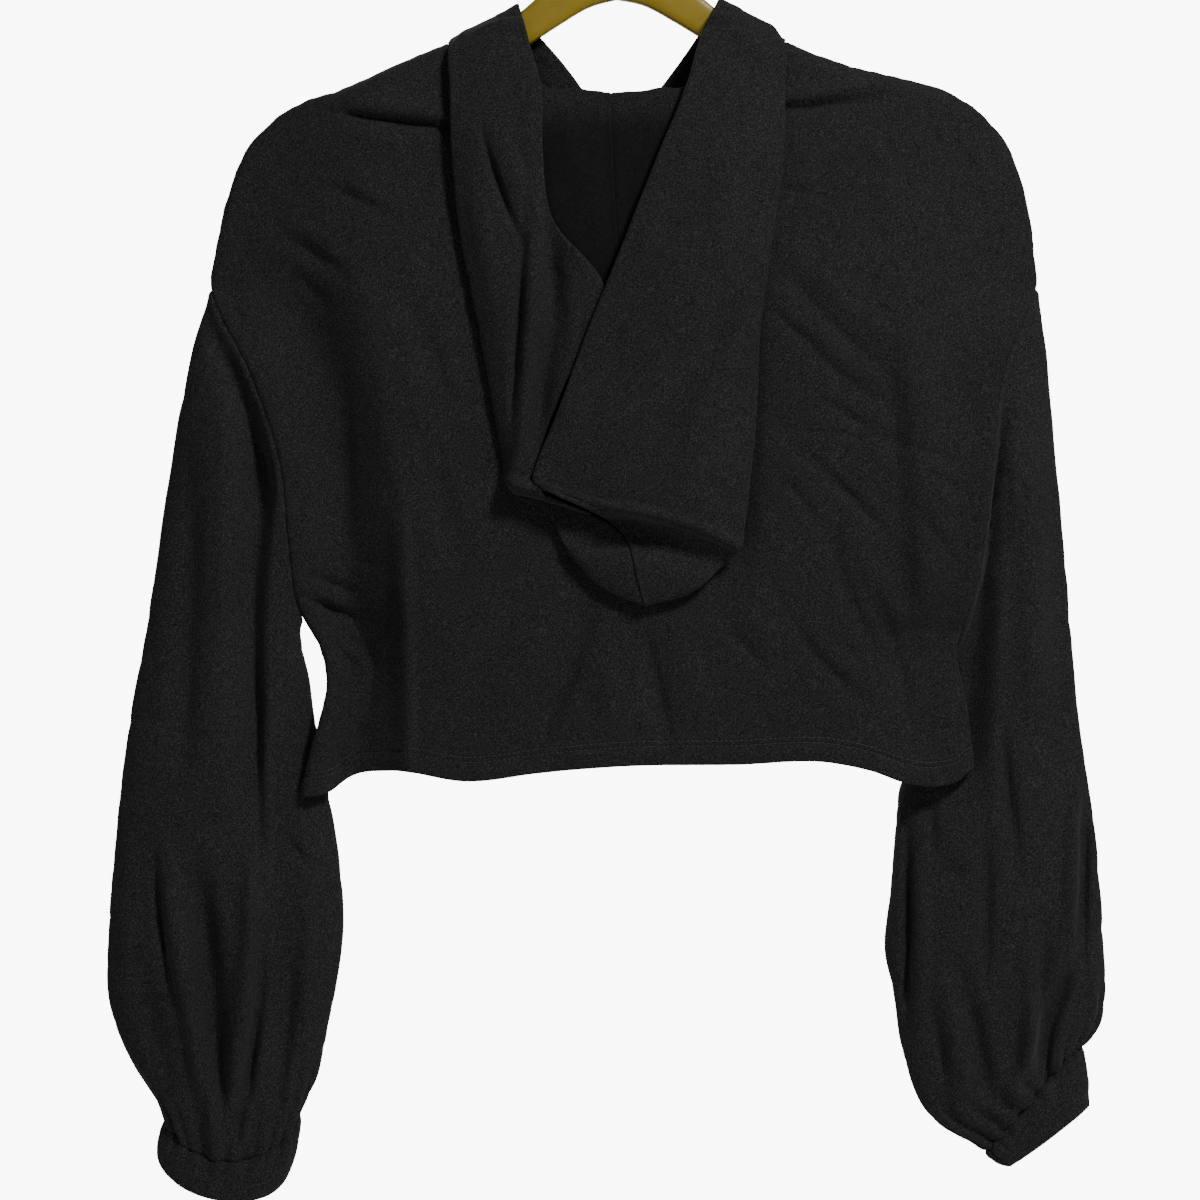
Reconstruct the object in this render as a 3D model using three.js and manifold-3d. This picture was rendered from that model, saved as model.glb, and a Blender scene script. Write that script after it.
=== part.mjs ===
// Hooded crop top with full sleeves, hanging on a moulded hanger, seen from its back.
// Millimetres, +Z up. The origin is the inside top of the hook, and -Y is the side of the hood.
// Places on the garment are given as x and drop, where drop is the distance below the origin.
import * as THREE from "three";
import * as BufferGeometryUtils from "three/addons/utils/BufferGeometryUtils.js";
import Module from "manifold-3d";

// Driving sizes
const CLOTH = 1.6; // wall of the brushed jersey
const SEAM_GAP = 0.5; // between the middle lines of two pieces that are sewn together
const ARMHOLE_SHIFT = { left: -0.5, right: 1.2 }; // of the sleeves, outward from the panels' edges
const CUFF_GAP = 1.8; // where the sleeves are gathered into the cuffs
const NECK_GAP = { back: 1.8, front: 0.9 }; // straight up from the panels' neck edges
const PANEL_GAP = 0.15; // from a shoulder or side seam's edge to the garment's middle plane
const SHOULDER_TURN = 9; // radius of the cloth where it turns over the hanger
const SIDE_TURN = 6; // radius of the cloth at the side seams
const SIDE_DEPTH = 4; // half depth of the body just inside a side seam
const SIDE_REACH = 90; // distance over which the body comes to its full depth
const ARMHOLE_DEPTH = 15; // half depth of the open armhole
const NECK_LEFT = -102; // where the shoulder seams meet the neck
const NECK_RIGHT = 101;
const HOOD_ROLL = 4; // radius of the hood's roll above the back neck
const HOOD_LIFT = 3; // from the middle of the back panel to the middle of the hood on it
const FOLD_SHARE = 0.16; // how much of a band is taken by the turn at its outer fold
const GATHERS = 12; // around each cuff
const GATHER_DEPTH = 2.6;
const HANGER_HALF = 5; // half the thickness of the hanger's arms
const HANGER_BEVEL = 2.5;
const HANGER_TILT = 0.026; // the right arm hangs a little higher
const HANGER_REACH = 211; // from the middle to the tip of an arm
const HOOK_WIRE = 3.5; // radius of the hook's round bar
const HOOK_INSIDE = 19; // radius inside the hook

// Shoulder line from end to end, over the hanger: x, drop
const SHOULDER = [
  [-235, 198], [-226, 171], [-208, 147], [-190, 135], [-166, 127], [-130, 111], [-102, 99],
  [-60, 76], [0, 60], [60, 74], [101, 98],
  [140, 113], [170, 120], [200, 129], [221, 144], [236, 165], [243, 186], [248, 210],
];

// Hem: x, drop
const HEM = [
  [-188, 549], [-173, 546], [-160, 537], [-136, 533], [-88, 539], [-46, 534], [2, 530],
  [70, 529], [128, 528], [152, 533], [172, 540], [192, 542], [205, 538], [212, 531],
];

// Neck edges between the shoulder seams: x, drop
const NECK_BACK = [
  [-102, 99], [-85, 116], [-60, 129], [-30, 137], [0, 139], [30, 137], [60, 129], [85, 115], [101, 98],
];
const NECK_FRONT = [
  [-102, 99], [-82, 117], [-52, 139], [-22, 155], [0, 165], [22, 155], [52, 138], [82, 116], [101, 98],
];

// Side edges from the end of the shoulder over the armhole and side seam to the hem: drop, x
const SIDE_LEFT = [
  [198, -235], [222, -240], [246, -243], [264, -236], [286, -224], [312, -213], [351, -201],
  [400, -196], [441, -189], [456, -180], [470, -175], [486, -174], [504, -178], [525, -184], [549, -188],
];
const SIDE_RIGHT = [
  [210, 248], [230, 250], [246, 251], [262, 244], [280, 235], [300, 229], [342, 224],
  [384, 220], [425, 214], [450, 206], [462, 203], [480, 206], [495, 209], [515, 211], [531, 212],
];
const ARMHOLE_LEFT = { top: 246, bottom: 441 };
const ARMHOLE_RIGHT = { top: 246, bottom: 450 };

// Half depth of the body: drop, depth
const BODY_DEPTH = [[60, 9], [99, 9], [130, 11], [180, 15], [260, 20], [350, 23], [450, 22], [549, 18]];

// Soft creases: x and drop of both ends, half width, height (below zero is a trough)
const BACK_CREASES = [
  [-148, 262, -143, 512, 24, -13],
  [-117, 390, -114, 520, 13, 4],
  [-178, 300, -170, 480, 16, 4],
  [-190, 137, -103, 147, 8, -6],
  [98, 139, 172, 131, 8, -6],
  [-178, 186, -136, 206, 11, -4],
  [-199, 216, -160, 242, 11, -4],
  [96, 226, 170, 314, 13, -5],
  [110, 300, 172, 338, 12, -4],
  [126, 404, 160, 446, 14, -5],
  [158, 440, 171, 494, 13, -5],
  [62, 446, 96, 484, 12, -4],
  [-16, 446, -52, 518, 15, -5],
  [14, 452, 30, 518, 14, -5],
];
const FRONT_CREASES = [
  [140, 250, 146, 508, 26, -12],
  [112, 380, 118, 515, 14, 4],
  [-70, 190, -30, 330, 16, -5],
  [60, 200, 20, 340, 15, -5],
  [-165, 190, -120, 240, 12, -5],
  [-150, 420, -120, 515, 14, -6],
  [-40, 430, -60, 518, 16, -6],
  [40, 410, 52, 518, 14, -5],
];
const LEFT_SLEEVE_CREASES = [
  [-226, 278, -214, 470, 15, -8],
  [-216, 470, -214, 660, 13, -5],
  [-240, 300, -236, 600, 16, 3],
  [-262, 600, -236, 716, 12, -5],
  [-219, 640, -227, 742, 10, -5],
  [-190, 560, -186, 690, 15, 3],
];
const RIGHT_SLEEVE_CREASES = [
  [232, 290, 228, 440, 14, -7],
  [226, 470, 232, 590, 12, -4],
  [247, 600, 250, 690, 13, -5],
  [196, 560, 190, 640, 12, -4],
  [284, 560, 268, 680, 10, -5],
  [268, 540, 262, 660, 12, 3],
  [186, 470, 184, 540, 12, -3],
];
const LEFT_BAND_CREASES = [
  [-76, 140, -57, 216, 8, -4],
  [-50, 205, -57, 350, 8, 4],
  [-41, 196, -44, 340, 7, -5],
];
const RIGHT_BAND_CREASES = [
  [70, 232, 46, 300, 12, -3],
  [52, 300, 10, 350, 12, -3],
];

// Sleeves, a row for each section: outer x, drop, inner x, drop, half depth, middle y, bow, dip.
// The bow follows the armhole, and the dip is how far the section sags on the hood's side.
const LEFT_SLEEVE = [
  [-243, 246, -189, 441, 15, 0, 1, 0],
  [-252, 275, -190, 450, 16, 1, 0.7, 0],
  [-260, 315, -188, 466, 17, 4, 0.35, 0],
  [-268, 360, -185, 486, 18, 8, 0.1, 0],
  [-276, 405, -182, 506, 18, 11, 0, 0],
  [-283, 450, -178, 528, 18, 12, 0, 0],
  [-291, 505, -173, 552, 18, 11, 0, 0],
  [-299, 565, -168, 588, 18, 8, 0, 0],
  [-304, 630, -166, 632, 18, 5, 0, 0],
  [-302, 678, -170, 666, 17, 4, 0, 1],
  [-291, 706, -176, 698, 16, 3, 0, 6],
  [-277, 726, -182, 719, 15, 2, 0, 17],
  [-267, 739, -193, 738, 13, 2, 0, 29],
];
const RIGHT_SLEEVE = [
  [251, 246, 206, 450, 15, 0, 1, 0],
  [256, 282, 212, 458, 16, 3, 0.7, 0],
  [260, 320, 206, 478, 17, 11, 0.35, 0],
  [264, 362, 192, 501, 18, 19, 0.1, 0],
  [268, 405, 181, 523, 18, 21, 0, 0],
  [272, 450, 171, 545, 18, 21, 0, 0],
  [277, 505, 167, 572, 18, 17, 0, 0],
  [284, 558, 164, 606, 18, 11, 0, 0],
  [289, 615, 161, 640, 18, 5, 0, 0],
  [291, 660, 167, 674, 17, 4, 0, 0],
  [289, 682, 174, 712, 16, 3, 0, 0],
  [283, 693, 188, 742, 13, 2, 0, 0],
  [275, 699, 221, 762, 10, 2, 0, 0],
];

// Cuffs, in the same columns as the sleeves
const LEFT_CUFF = [
  [-267, 739, -193, 738, 13, 2, 0, 29],
  [-272, 750, -195, 756, 14, 2, 0, 26],
  [-275, 762, -199, 774, 14, 2, 0, 21],
];
const RIGHT_CUFF = [
  [275, 699, 221, 762, 10, 2, 0, 0],
  [279, 717, 228, 767, 9, 3, 0, 0],
  [281, 735, 235, 771, 8, 4, 0, 0],
];

// Hood, a row for each line of cloth from the neck seam over the outer fold to the face edge.
// side: 1 starts on the front neck and -1 on the back neck. rise: height of the roll at the neck.
// fold, band and face are x, y, drop: the outer fold, the middle of the band and the face edge.
const HOOD_LEFT = [
  { neck: -1, side: 1, rise: 0, fold: [-2, 14, 160], band: [-3, 14, 156], face: [-4, 14, 151] },
  { neck: -48, side: 1, rise: 0, fold: [-43, 13, 131], band: [-37, 13, 122], face: [-31, 13, 112] },
  { neck: -84, side: 1, rise: 0, fold: [-75, 11, 108], band: [-62, 11, 102], face: [-46, 10, 95] },
  { neck: -97, side: 1, rise: 0, fold: [-87, 8, 98], band: [-73, 8.5, 91], face: [-57, 8.5, 83] },
  { neck: -101, side: 0, rise: 0, fold: [-90, 0, 91], band: [-76, 0, 84], face: [-60, 0, 75] },
  { neck: -97, side: -1, rise: 3, fold: [-99, -14, 103], band: [-79, -16, 97], face: [-57, -10, 86] },
  { neck: -88, side: -1, rise: 6, fold: [-99, -19, 128], band: [-76, -20, 117], face: [-53, -15, 101] },
  { neck: -70, side: -1, rise: 10, fold: [-98, -24, 165], band: [-72, -26, 150], face: [-46, -23, 128] },
  { neck: -52, side: -1, rise: 12, fold: [-93, -27, 215], band: [-66, -31, 190], face: [-45, -29, 165] },
  { neck: -36, side: -1, rise: 12, fold: [-83, -29, 265], band: [-56, -34, 235], face: [-40, -31, 204] },
  { neck: -23, side: -1, rise: 13, fold: [-73, -31, 315], band: [-47, -35, 285], face: [-8, -32, 249] },
  { neck: -16, side: -1, rise: 13, fold: [-66, -31, 350], band: [-52, -36, 335], face: [-36, -35, 315] },
  { neck: -13, side: -1, rise: 13, fold: [-64, -31, 364], band: [-57, -36, 364], face: [-48, -36, 357] },
  { neck: -11, side: -1, rise: 13, fold: [-60, -30, 369], band: [-54, -33, 369], face: [-48, -34.5, 363] },
  { neck: -9, side: -1, rise: 13, fold: [-34, -30, 392], band: [-39, -32.5, 378], face: [-47, -34.5, 366] },
  { neck: -7, side: -1, rise: 13, fold: [-10, -30, 423], band: [-22, -33, 394], face: [-46, -34.5, 368] },
  { neck: -5.3, side: -1, rise: 13, fold: [15.6, -30, 434], band: [4, -35, 396], face: [-45, -34.5, 369.5] },
];
const HOOD_RIGHT = [
  { neck: 1, side: 1, rise: 0, fold: [2, 14, 160], band: [3, 14, 156], face: [4, 14, 151] },
  { neck: 48, side: 1, rise: 0, fold: [42, 13, 131], band: [37, 13, 124], face: [31, 13, 119] },
  { neck: 84, side: 1, rise: 0, fold: [74, 11, 107], band: [63, 11, 101], face: [49, 10, 94] },
  { neck: 96, side: 1, rise: 0, fold: [87, 8, 95], band: [74, 8.5, 88], face: [58, 8.5, 80] },
  { neck: 100, side: 0, rise: 0, fold: [91, 0, 88], band: [78, 0, 81], face: [62, 0, 72] },
  { neck: 96, side: -1, rise: 3, fold: [99, -14, 101], band: [80, -16, 94], face: [57, -10, 83] },
  { neck: 88, side: -1, rise: 6, fold: [99, -19, 126], band: [77, -21, 115], face: [51, -16, 96] },
  { neck: 70, side: -1, rise: 10, fold: [98, -25, 165], band: [73, -28, 149], face: [43, -25, 124] },
  { neck: 52, side: -1, rise: 12, fold: [91, -29, 218], band: [63, -35, 197], face: [26, -33, 166] },
  { neck: 36, side: -1, rise: 12, fold: [84, -32, 270], band: [50, -39, 248], face: [4, -38, 222] },
  { neck: 24, side: -1, rise: 13, fold: [81, -34, 320], band: [38, -42, 302], face: [-18, -41, 277] },
  { neck: 16, side: -1, rise: 13, fold: [76, -35, 366], band: [26, -44, 348], face: [-36, -43, 326] },
  { neck: 11, side: -1, rise: 13, fold: [72, -36, 394], band: [16, -44, 374], face: [-47, -43, 353] },
  { neck: 8, side: -1, rise: 13, fold: [71, -35, 402], band: [14, -42, 383], face: [-49, -41, 361] },
  { neck: 5, side: -1, rise: 13, fold: [64, -33.5, 408], band: [13, -38.5, 386], face: [-48, -38, 363] },
  { neck: 0, side: -1, rise: 13, fold: [42, -31, 427], band: [13, -36.5, 391], face: [-46, -36.5, 364.5] },
  { neck: -4.4, side: -1, rise: 13, fold: [16.5, -30, 434], band: [5.6, -35.5, 395], face: [-43, -36, 366] },
];

// Hanger arms, from the middle outward: distance from the middle, drop
const ARM_TOP = [
  [0, 48], [20, 51], [40, 63], [60, 79.5], [80, 93], [100, 105], [150, 124], [195, 140], [211, 151],
];
const ARM_BOTTOM = [
  [0, 72], [16, 76], [34, 86], [50, 96], [60, 102], [100, 125], [150, 145], [195, 159], [211, 158],
];

// Grid sizes: quads along and across each piece
const PANEL_SHOULDER = 8;
const PANEL_NECK = [1, 0.97, 0.88, 0.7, 0.48, 0.24]; // columns, as shares of the way out to a neck point
const PANEL_TOP = [0, 0.01, 0.03]; // first rows of a panel, close together over the hanger
const PANEL_ROWS = 19;
const SLEEVE_SIDES = 36;
const SLEEVE_ROWS = 17;
const CUFF_ROWS = 2;
const HOOD_LINES = 30;
// Places of the hood's grid lines between the neck seam (0), the outer fold (4) and the face edge (7)
const HOOD_STEPS = [0, 0.5, 1, 1.5, 2, 2.5, 3, 3.5, 4, 4.5, 5, 5.5, 6, 6.5, 7];

// Directions across the seams
const ACROSS_BODY = new THREE.Vector3(0, 1, 0);
const ALONG_SHOULDERS = new THREE.Vector3(1, 0, 0);
const LEFT_WRIST = new THREE.Vector3(0, 0, -1);
const RIGHT_WRIST = new THREE.Vector3(0.77, 0, -0.64).normalize();

const clamp = (value, low, high) => Math.min(high, Math.max(low, value));
const mix = (from, to, share) => from + (to - from) * share;
const mixPoints = (from, to, share) => from.map((value, axis) => mix(value, to[axis], share));

function ease(value) {
  const share = clamp(value, 0, 1);
  return share * share * (3 - 2 * share);
}

// 0 at an edge, rising along a quarter circle to 1
function turned(distance, radius) {
  return Math.sqrt(1 - (1 - clamp(distance / radius, 0, 1)) ** 2);
}

function hermite(from, to, slopeFrom, slopeTo, share) {
  const square = share * share;
  const cube = square * share;
  return (2 * cube - 3 * square + 1) * from + (cube - 2 * square + share) * slopeFrom
    + (3 * square - 2 * cube) * to + (cube - square) * slopeTo;
}

// Slope at a knot between two stretches, the shorter one counting more
function knotSlope(before, at, after, lengthBefore, lengthAfter) {
  const slopeBefore = (at - before) / lengthBefore;
  const slopeAfter = (after - at) / lengthAfter;
  return (slopeBefore * lengthAfter + slopeAfter * lengthBefore) / (lengthBefore + lengthAfter);
}

// A smooth line through the rows of a table of two columns, read at any key
function lineThrough(rows) {
  const last = rows.length - 1;
  const slopes = rows.map(([key, value], i) => {
    const [keyBefore, before] = rows[Math.max(i - 1, 0)];
    const [keyAfter, after] = rows[Math.min(i + 1, last)];
    if (i === 0 || i === last) {
      return (after - before) / (keyAfter - keyBefore);
    }
    return knotSlope(before, value, after, key - keyBefore, keyAfter - key);
  });
  return (wanted) => {
    const key = clamp(wanted, rows[0][0], rows[last][0]);
    let i = 0;
    while (i < last - 1 && key > rows[i + 1][0]) {
      i += 1;
    }
    const span = rows[i + 1][0] - rows[i][0];
    const share = (key - rows[i][0]) / span;
    return hermite(rows[i][1], rows[i + 1][1], slopes[i] * span, slopes[i + 1] * span, share);
  };
}

// A smooth path through points, read at any place counted in points
function pathThrough(points) {
  const last = points.length - 1;
  const lengths = points.slice(1).map((point, i) => {
    const steps = point.map((value, axis) => value - points[i][axis]);
    return Math.hypot(...steps) + 1e-6;
  });
  const slopes = points.map((point, i) => point.map((value, axis) => {
    if (i === 0) {
      return (points[1][axis] - value) / lengths[0];
    }
    if (i === last) {
      return (value - points[i - 1][axis]) / lengths[i - 1];
    }
    return knotSlope(points[i - 1][axis], value, points[i + 1][axis], lengths[i - 1], lengths[i]);
  }));
  return (wanted) => {
    const place = clamp(wanted, 0, last);
    const i = Math.min(Math.floor(place), last - 1);
    const share = place - i;
    return points[i].map((value, axis) => hermite(
      value,
      points[i + 1][axis],
      slopes[i][axis] * lengths[i],
      slopes[i + 1][axis] * lengths[i],
      share,
    ));
  };
}

// Height of the creases at a place on the cloth
function creaseHeight(creases, x, drop) {
  let height = 0;
  for (const [x0, drop0, x1, drop1, halfWidth, peak] of creases) {
    const alongX = x1 - x0;
    const alongDrop = drop1 - drop0;
    const length = Math.hypot(alongX, alongDrop);
    const along = ((x - x0) * alongX + (drop - drop0) * alongDrop) / (length * length);
    const across = Math.abs((x - x0) * alongDrop - (drop - drop0) * alongX) / length;
    const ends = ease(along / 0.3) * ease((1 - along) / 0.3);
    const bell = ease(1 - across / (1.6 * halfWidth));
    height += peak * bell * ends;
  }
  return height;
}

const shoulderDrop = lineThrough(SHOULDER);
const hemDrop = lineThrough(HEM);
const sideLeft = lineThrough(SIDE_LEFT);
const sideRight = lineThrough(SIDE_RIGHT);
const bodyDepth = lineThrough(BODY_DEPTH);
const neckDrop = { back: lineThrough(NECK_BACK), front: lineThrough(NECK_FRONT) };

// Half depth of the open armhole at a drop: an ellipse from the shoulder to the underarm
function armholeDepth(armhole, drop) {
  const share = clamp((drop - armhole.top) / (armhole.bottom - armhole.top), 0, 1);
  return ARMHOLE_DEPTH * 2 * Math.sqrt(share * (1 - share));
}

// Where the body's middle lies in y: its lower corners hang in front of the sleeves
function bodyMiddle(x, drop) {
  const right = ease((x - 120) / 85) * ease((drop - 445) / 60);
  const left = ease((-x - 110) / 65) * ease((drop - 455) / 60);
  return -12 * right - 9 * left;
}

// Distance of a panel's middle surface from the body's middle
function panelDepth(x, drop, creases) {
  const fromLeft = Math.max(x - sideLeft(drop), 0);
  const fromRight = Math.max(sideRight(drop) - x, 0);
  const fromSide = Math.min(fromLeft, fromRight);
  const armhole = fromLeft < fromRight ? ARMHOLE_LEFT : ARMHOLE_RIGHT;
  const open = armholeDepth(armhole, drop);
  const edge = Math.hypot(open, SIDE_DEPTH * turned(fromSide, SIDE_TURN));
  const rise = Math.sin((Math.PI / 2) * clamp(fromSide / SIDE_REACH, 0, 1)) ** 2;
  const full = mix(edge, Math.max(bodyDepth(drop), edge), rise);
  const top = turned(drop - shoulderDrop(x), SHOULDER_TURN);
  const inside = ease(fromSide / 20) * ease((drop - shoulderDrop(x)) / 16);
  return PANEL_GAP + full * top + creaseHeight(creases, x, drop) * inside;
}

// x of the panels' grid lines along the shoulders and the neck, closer together at the ends
function panelColumns() {
  const columns = [];
  const left = SHOULDER[0][0];
  const right = SHOULDER[SHOULDER.length - 1][0];
  for (let i = 0; i < PANEL_SHOULDER; i += 1) {
    const share = (i / PANEL_SHOULDER) ** 1.35;
    columns.push(mix(left, NECK_LEFT, share), mix(right, NECK_RIGHT, share));
  }
  for (const share of PANEL_NECK) {
    columns.push(share * NECK_LEFT, share * NECK_RIGHT);
  }
  columns.push(0);
  return columns.sort((a, b) => a - b);
}

// Share of the way from a panel's top to its hem
function panelDown(row) {
  const last = PANEL_TOP.length - 1;
  return row <= last ? PANEL_TOP[row] : mix(PANEL_TOP[last], 1, (row - last) / (PANEL_ROWS - last));
}

// Grid of a panel's middle surface, from the shoulder line down to the hem
function panelGrid(side, neck, creases) {
  const columns = panelColumns();
  const left = columns[0];
  const right = columns[columns.length - 1];
  return columns.map((topX) => {
    const across = (topX - left) / (right - left);
    const onNeck = topX >= NECK_LEFT && topX <= NECK_RIGHT;
    const top = onNeck ? neck(topX) : shoulderDrop(topX);
    const line = [];
    for (let row = 0; row <= PANEL_ROWS; row += 1) {
      const down = panelDown(row);
      const leftDrop = mix(SHOULDER[0][1], HEM[0][1], down);
      const rightDrop = mix(SHOULDER[SHOULDER.length - 1][1], HEM[HEM.length - 1][1], down);
      const x = mix(sideLeft(leftDrop), sideRight(rightDrop), across);
      const hem = hemDrop(mix(HEM[0][0], HEM[HEM.length - 1][0], across));
      const edgeDrop = across === 0 ? leftDrop : rightDrop;
      const atEdge = across === 0 || across === 1;
      const drop = atEdge ? edgeDrop : mix(top, hem, down);
      const y = bodyMiddle(x, drop) + side * panelDepth(x, drop, creases);
      line.push([x, y, -drop]);
    }
    return line;
  });
}

// A place on the straight stretches between points, found by one of their axes
function onStretches(points, axis, wanted) {
  const rising = points[points.length - 1][axis] > points[0][axis];
  const last = points.length - 1;
  let i = 0;
  while (i < last - 1 && (rising ? wanted > points[i + 1][axis] : wanted < points[i + 1][axis])) {
    i += 1;
  }
  const share = (wanted - points[i][axis]) / (points[i + 1][axis] - points[i][axis]);
  return mixPoints(points[i], points[i + 1], clamp(share, 0, 1));
}

const panels = {
  back: panelGrid(-1, neckDrop.back, BACK_CREASES),
  front: panelGrid(1, neckDrop.front, FRONT_CREASES),
};

// A place on a panel's neck edge, moved up by the gap there
function neckPoint(x, side) {
  if (side === 0) {
    return [x, 0, 2 * SEAM_GAP - shoulderDrop(x)];
  }
  const name = side > 0 ? "front" : "back";
  const edge = panels[name].map((line) => line[0]);
  const [, y, z] = onStretches(edge, 0, x);
  return [x, y, z + NECK_GAP[name]];
}

// One line of the hood's cloth, from the neck seam over the roll and the outer fold to the face edge
function hoodStations(line) {
  const neck = neckPoint(line.neck, line.side);
  const [foldX, foldY, foldDrop] = line.fold;
  const fold = [foldX, foldY, -foldDrop];
  const turning = line.rise / 13;
  const roll = mixPoints(neck, fold, 0.02 + 0.2 * (1 - turning));
  const rolledY = neck[1] - HOOD_ROLL * turning + (roll[1] - neck[1]) * (1 - turning);
  const rolled = [roll[0], rolledY, roll[2] + line.rise];
  const hung = mixPoints(neck, fold, 0.06 + 0.4 * (1 - turning));
  hung[1] = mix(hung[1], neck[1] - 2 * HOOD_ROLL - 1, turning);
  const band = [line.band[0], line.band[1], -line.band[2]];
  const face = [line.face[0], line.face[1], -line.face[2]];
  const under = mixPoints(fold, hung, FOLD_SHARE);
  under[1] = mix(fold[1], hung[1], 0.5 * turning + FOLD_SHARE * (1 - turning));
  const onBand = mixPoints(fold, band, 2 * FOLD_SHARE);
  onBand[1] = mix(fold[1], band[1], 0.8);
  return [neck, rolled, hung, under, fold, onBand, band, face];
}

// Grid of a hood half's middle surface
function hoodGrid(table, creases) {
  const stations = table.map(hoodStations);
  const paths = stations[0].map((_, i) => pathThrough(stations.map((line) => line[i])));
  const grid = [];
  for (let i = 0; i <= HOOD_LINES; i += 1) {
    const place = (i / HOOD_LINES) * (table.length - 1);
    const across = pathThrough(paths.map((path) => path(place)));
    grid.push(HOOD_STEPS.map((step) => {
      const [x, y, z] = across(step);
      const onBand = ease((step - 4.5) / 1) * ease((-6 - y) / 8);
      const overPanel = ease((-y - 7) / 3) * ease((step - 0.4) / 0.6);
      const least = mix(0, panelDepth(x, -z, BACK_CREASES) + HOOD_LIFT, overPanel);
      const shown = y - creaseHeight(creases, x, -z) * onBand;
      return [x, overPanel > 0 ? Math.min(shown, -least) : shown, z];
    }));
  }
  return grid;
}

// A place on the armhole's edge of the back or the front panel
function armholePoint(left, armhole, share, facing) {
  const panel = facing > 0 ? panels.back : panels.front;
  const edge = left ? panel[0] : panel[panel.length - 1];
  const point = onStretches(edge, 2, -mix(armhole.top, armhole.bottom, share));
  if (Math.abs(facing) < 0.01) {
    point[1] = 0;
  }
  return point;
}

// Grid of a tube's middle surface. It starts on the outer edge, and runs round the hood's side first.
function tubeGrid(table, rows, shape) {
  const path = pathThrough(table);
  const grid = [];
  for (let row = 0; row <= rows; row += 1) {
    const place = (row / rows) * (table.length - 1);
    const [outX, outDrop, inX, inDrop, depth, middle, bow, dip] = path(place);
    const line = [];
    for (let i = 0; i < SLEEVE_SIDES; i += 1) {
      const angle = (i / SLEEVE_SIDES) * 2 * Math.PI;
      const share = (1 - Math.cos(angle)) / 2;
      const facing = Math.sin(angle);
      const x = mix(outX, inX, share) + shape.shiftX;
      const drop = mix(outDrop, inDrop, share) + Math.max(facing, 0) * dip + shape.shiftDrop;
      const crease = facing > 0 ? creaseHeight(shape.creases, x, drop) : 0;
      const gathered = shape.gathers(row / rows) * Math.cos(GATHERS * angle);
      const swell = (crease * Math.abs(facing) ** 0.5 + gathered) * (facing < 0 ? -1 : 1);
      const y = middle * mix(0.4, 1, share) - facing * depth - swell * Math.min(1, 2 * Math.abs(facing));
      const [bowX, bowY] = bow > 0 ? shape.bow(share, facing) : [0, 0];
      line.push([x + bow * bowX, y + bow * bowY, -drop]);
    }
    grid.push(line);
  }
  return grid;
}

// Normals of a grid. At a seam's edge they stay square to the direction across the seam.
function gridNormals(grid, closed, seamAxis) {
  const lines = grid.length;
  const steps = grid[0].length;
  const vector = (from, to) => new THREE.Vector3(to[0] - from[0], to[1] - from[1], to[2] - from[2]);
  return grid.map((line, i) => line.map((point, j) => {
    const before = grid[Math.max(i - 1, 0)][j];
    const after = grid[Math.min(i + 1, lines - 1)][j];
    const left = closed ? line[(j + steps - 1) % steps] : line[Math.max(j - 1, 0)];
    const right = closed ? line[(j + 1) % steps] : line[Math.min(j + 1, steps - 1)];
    const normal = vector(before, after).cross(vector(left, right)).normalize();
    const axis = seamAxis(i, j, lines - 1, point);
    if (!axis) {
      return normal;
    }
    const seam = i === 0 || i === lines - 1 ? vector(left, right) : vector(before, after);
    const square = seam.cross(axis).normalize();
    return square.dot(normal) < 0 ? square.negate() : square;
  }));
}

// A closed cloth wall around a grid's middle surface. A closed grid joins its last step to its first.
function clothWall(grid, closed, seamAxis) {
  const normals = gridNormals(grid, closed, seamAxis);
  const lines = grid.length;
  const steps = grid[0].length;
  const positions = [];
  for (const offset of [CLOTH / 2, -CLOTH / 2]) {
    grid.forEach((line, i) => line.forEach((point, j) => {
      const { x, y, z } = normals[i][j];
      positions.push(point[0] + x * offset, point[1] + y * offset, point[2] + z * offset);
    }));
  }
  const outer = (i, j) => i * steps + (j % steps);
  const inner = (i, j) => lines * steps + outer(i, j);
  const index = [];
  const quad = (a, b, c, d) => index.push(a, b, c, a, c, d);
  const lastStep = closed ? steps : steps - 1;
  for (let i = 0; i < lines - 1; i += 1) {
    for (let j = 0; j < lastStep; j += 1) {
      quad(outer(i, j), outer(i + 1, j), outer(i + 1, j + 1), outer(i, j + 1));
      quad(inner(i, j), inner(i, j + 1), inner(i + 1, j + 1), inner(i + 1, j));
    }
  }
  for (let j = 0; j < lastStep; j += 1) {
    quad(inner(0, j), outer(0, j), outer(0, j + 1), inner(0, j + 1));
    quad(outer(lines - 1, j), inner(lines - 1, j), inner(lines - 1, j + 1), outer(lines - 1, j + 1));
  }
  if (!closed) {
    for (let i = 0; i < lines - 1; i += 1) {
      quad(inner(i, 0), inner(i + 1, 0), outer(i + 1, 0), outer(i, 0));
      quad(outer(i, steps - 1), outer(i + 1, steps - 1), inner(i + 1, steps - 1), inner(i, steps - 1));
    }
  }
  const geometry = new THREE.BufferGeometry();
  geometry.setAttribute("position", new THREE.Float32BufferAttribute(positions, 3));
  geometry.setIndex(index);
  return geometry;
}

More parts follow.
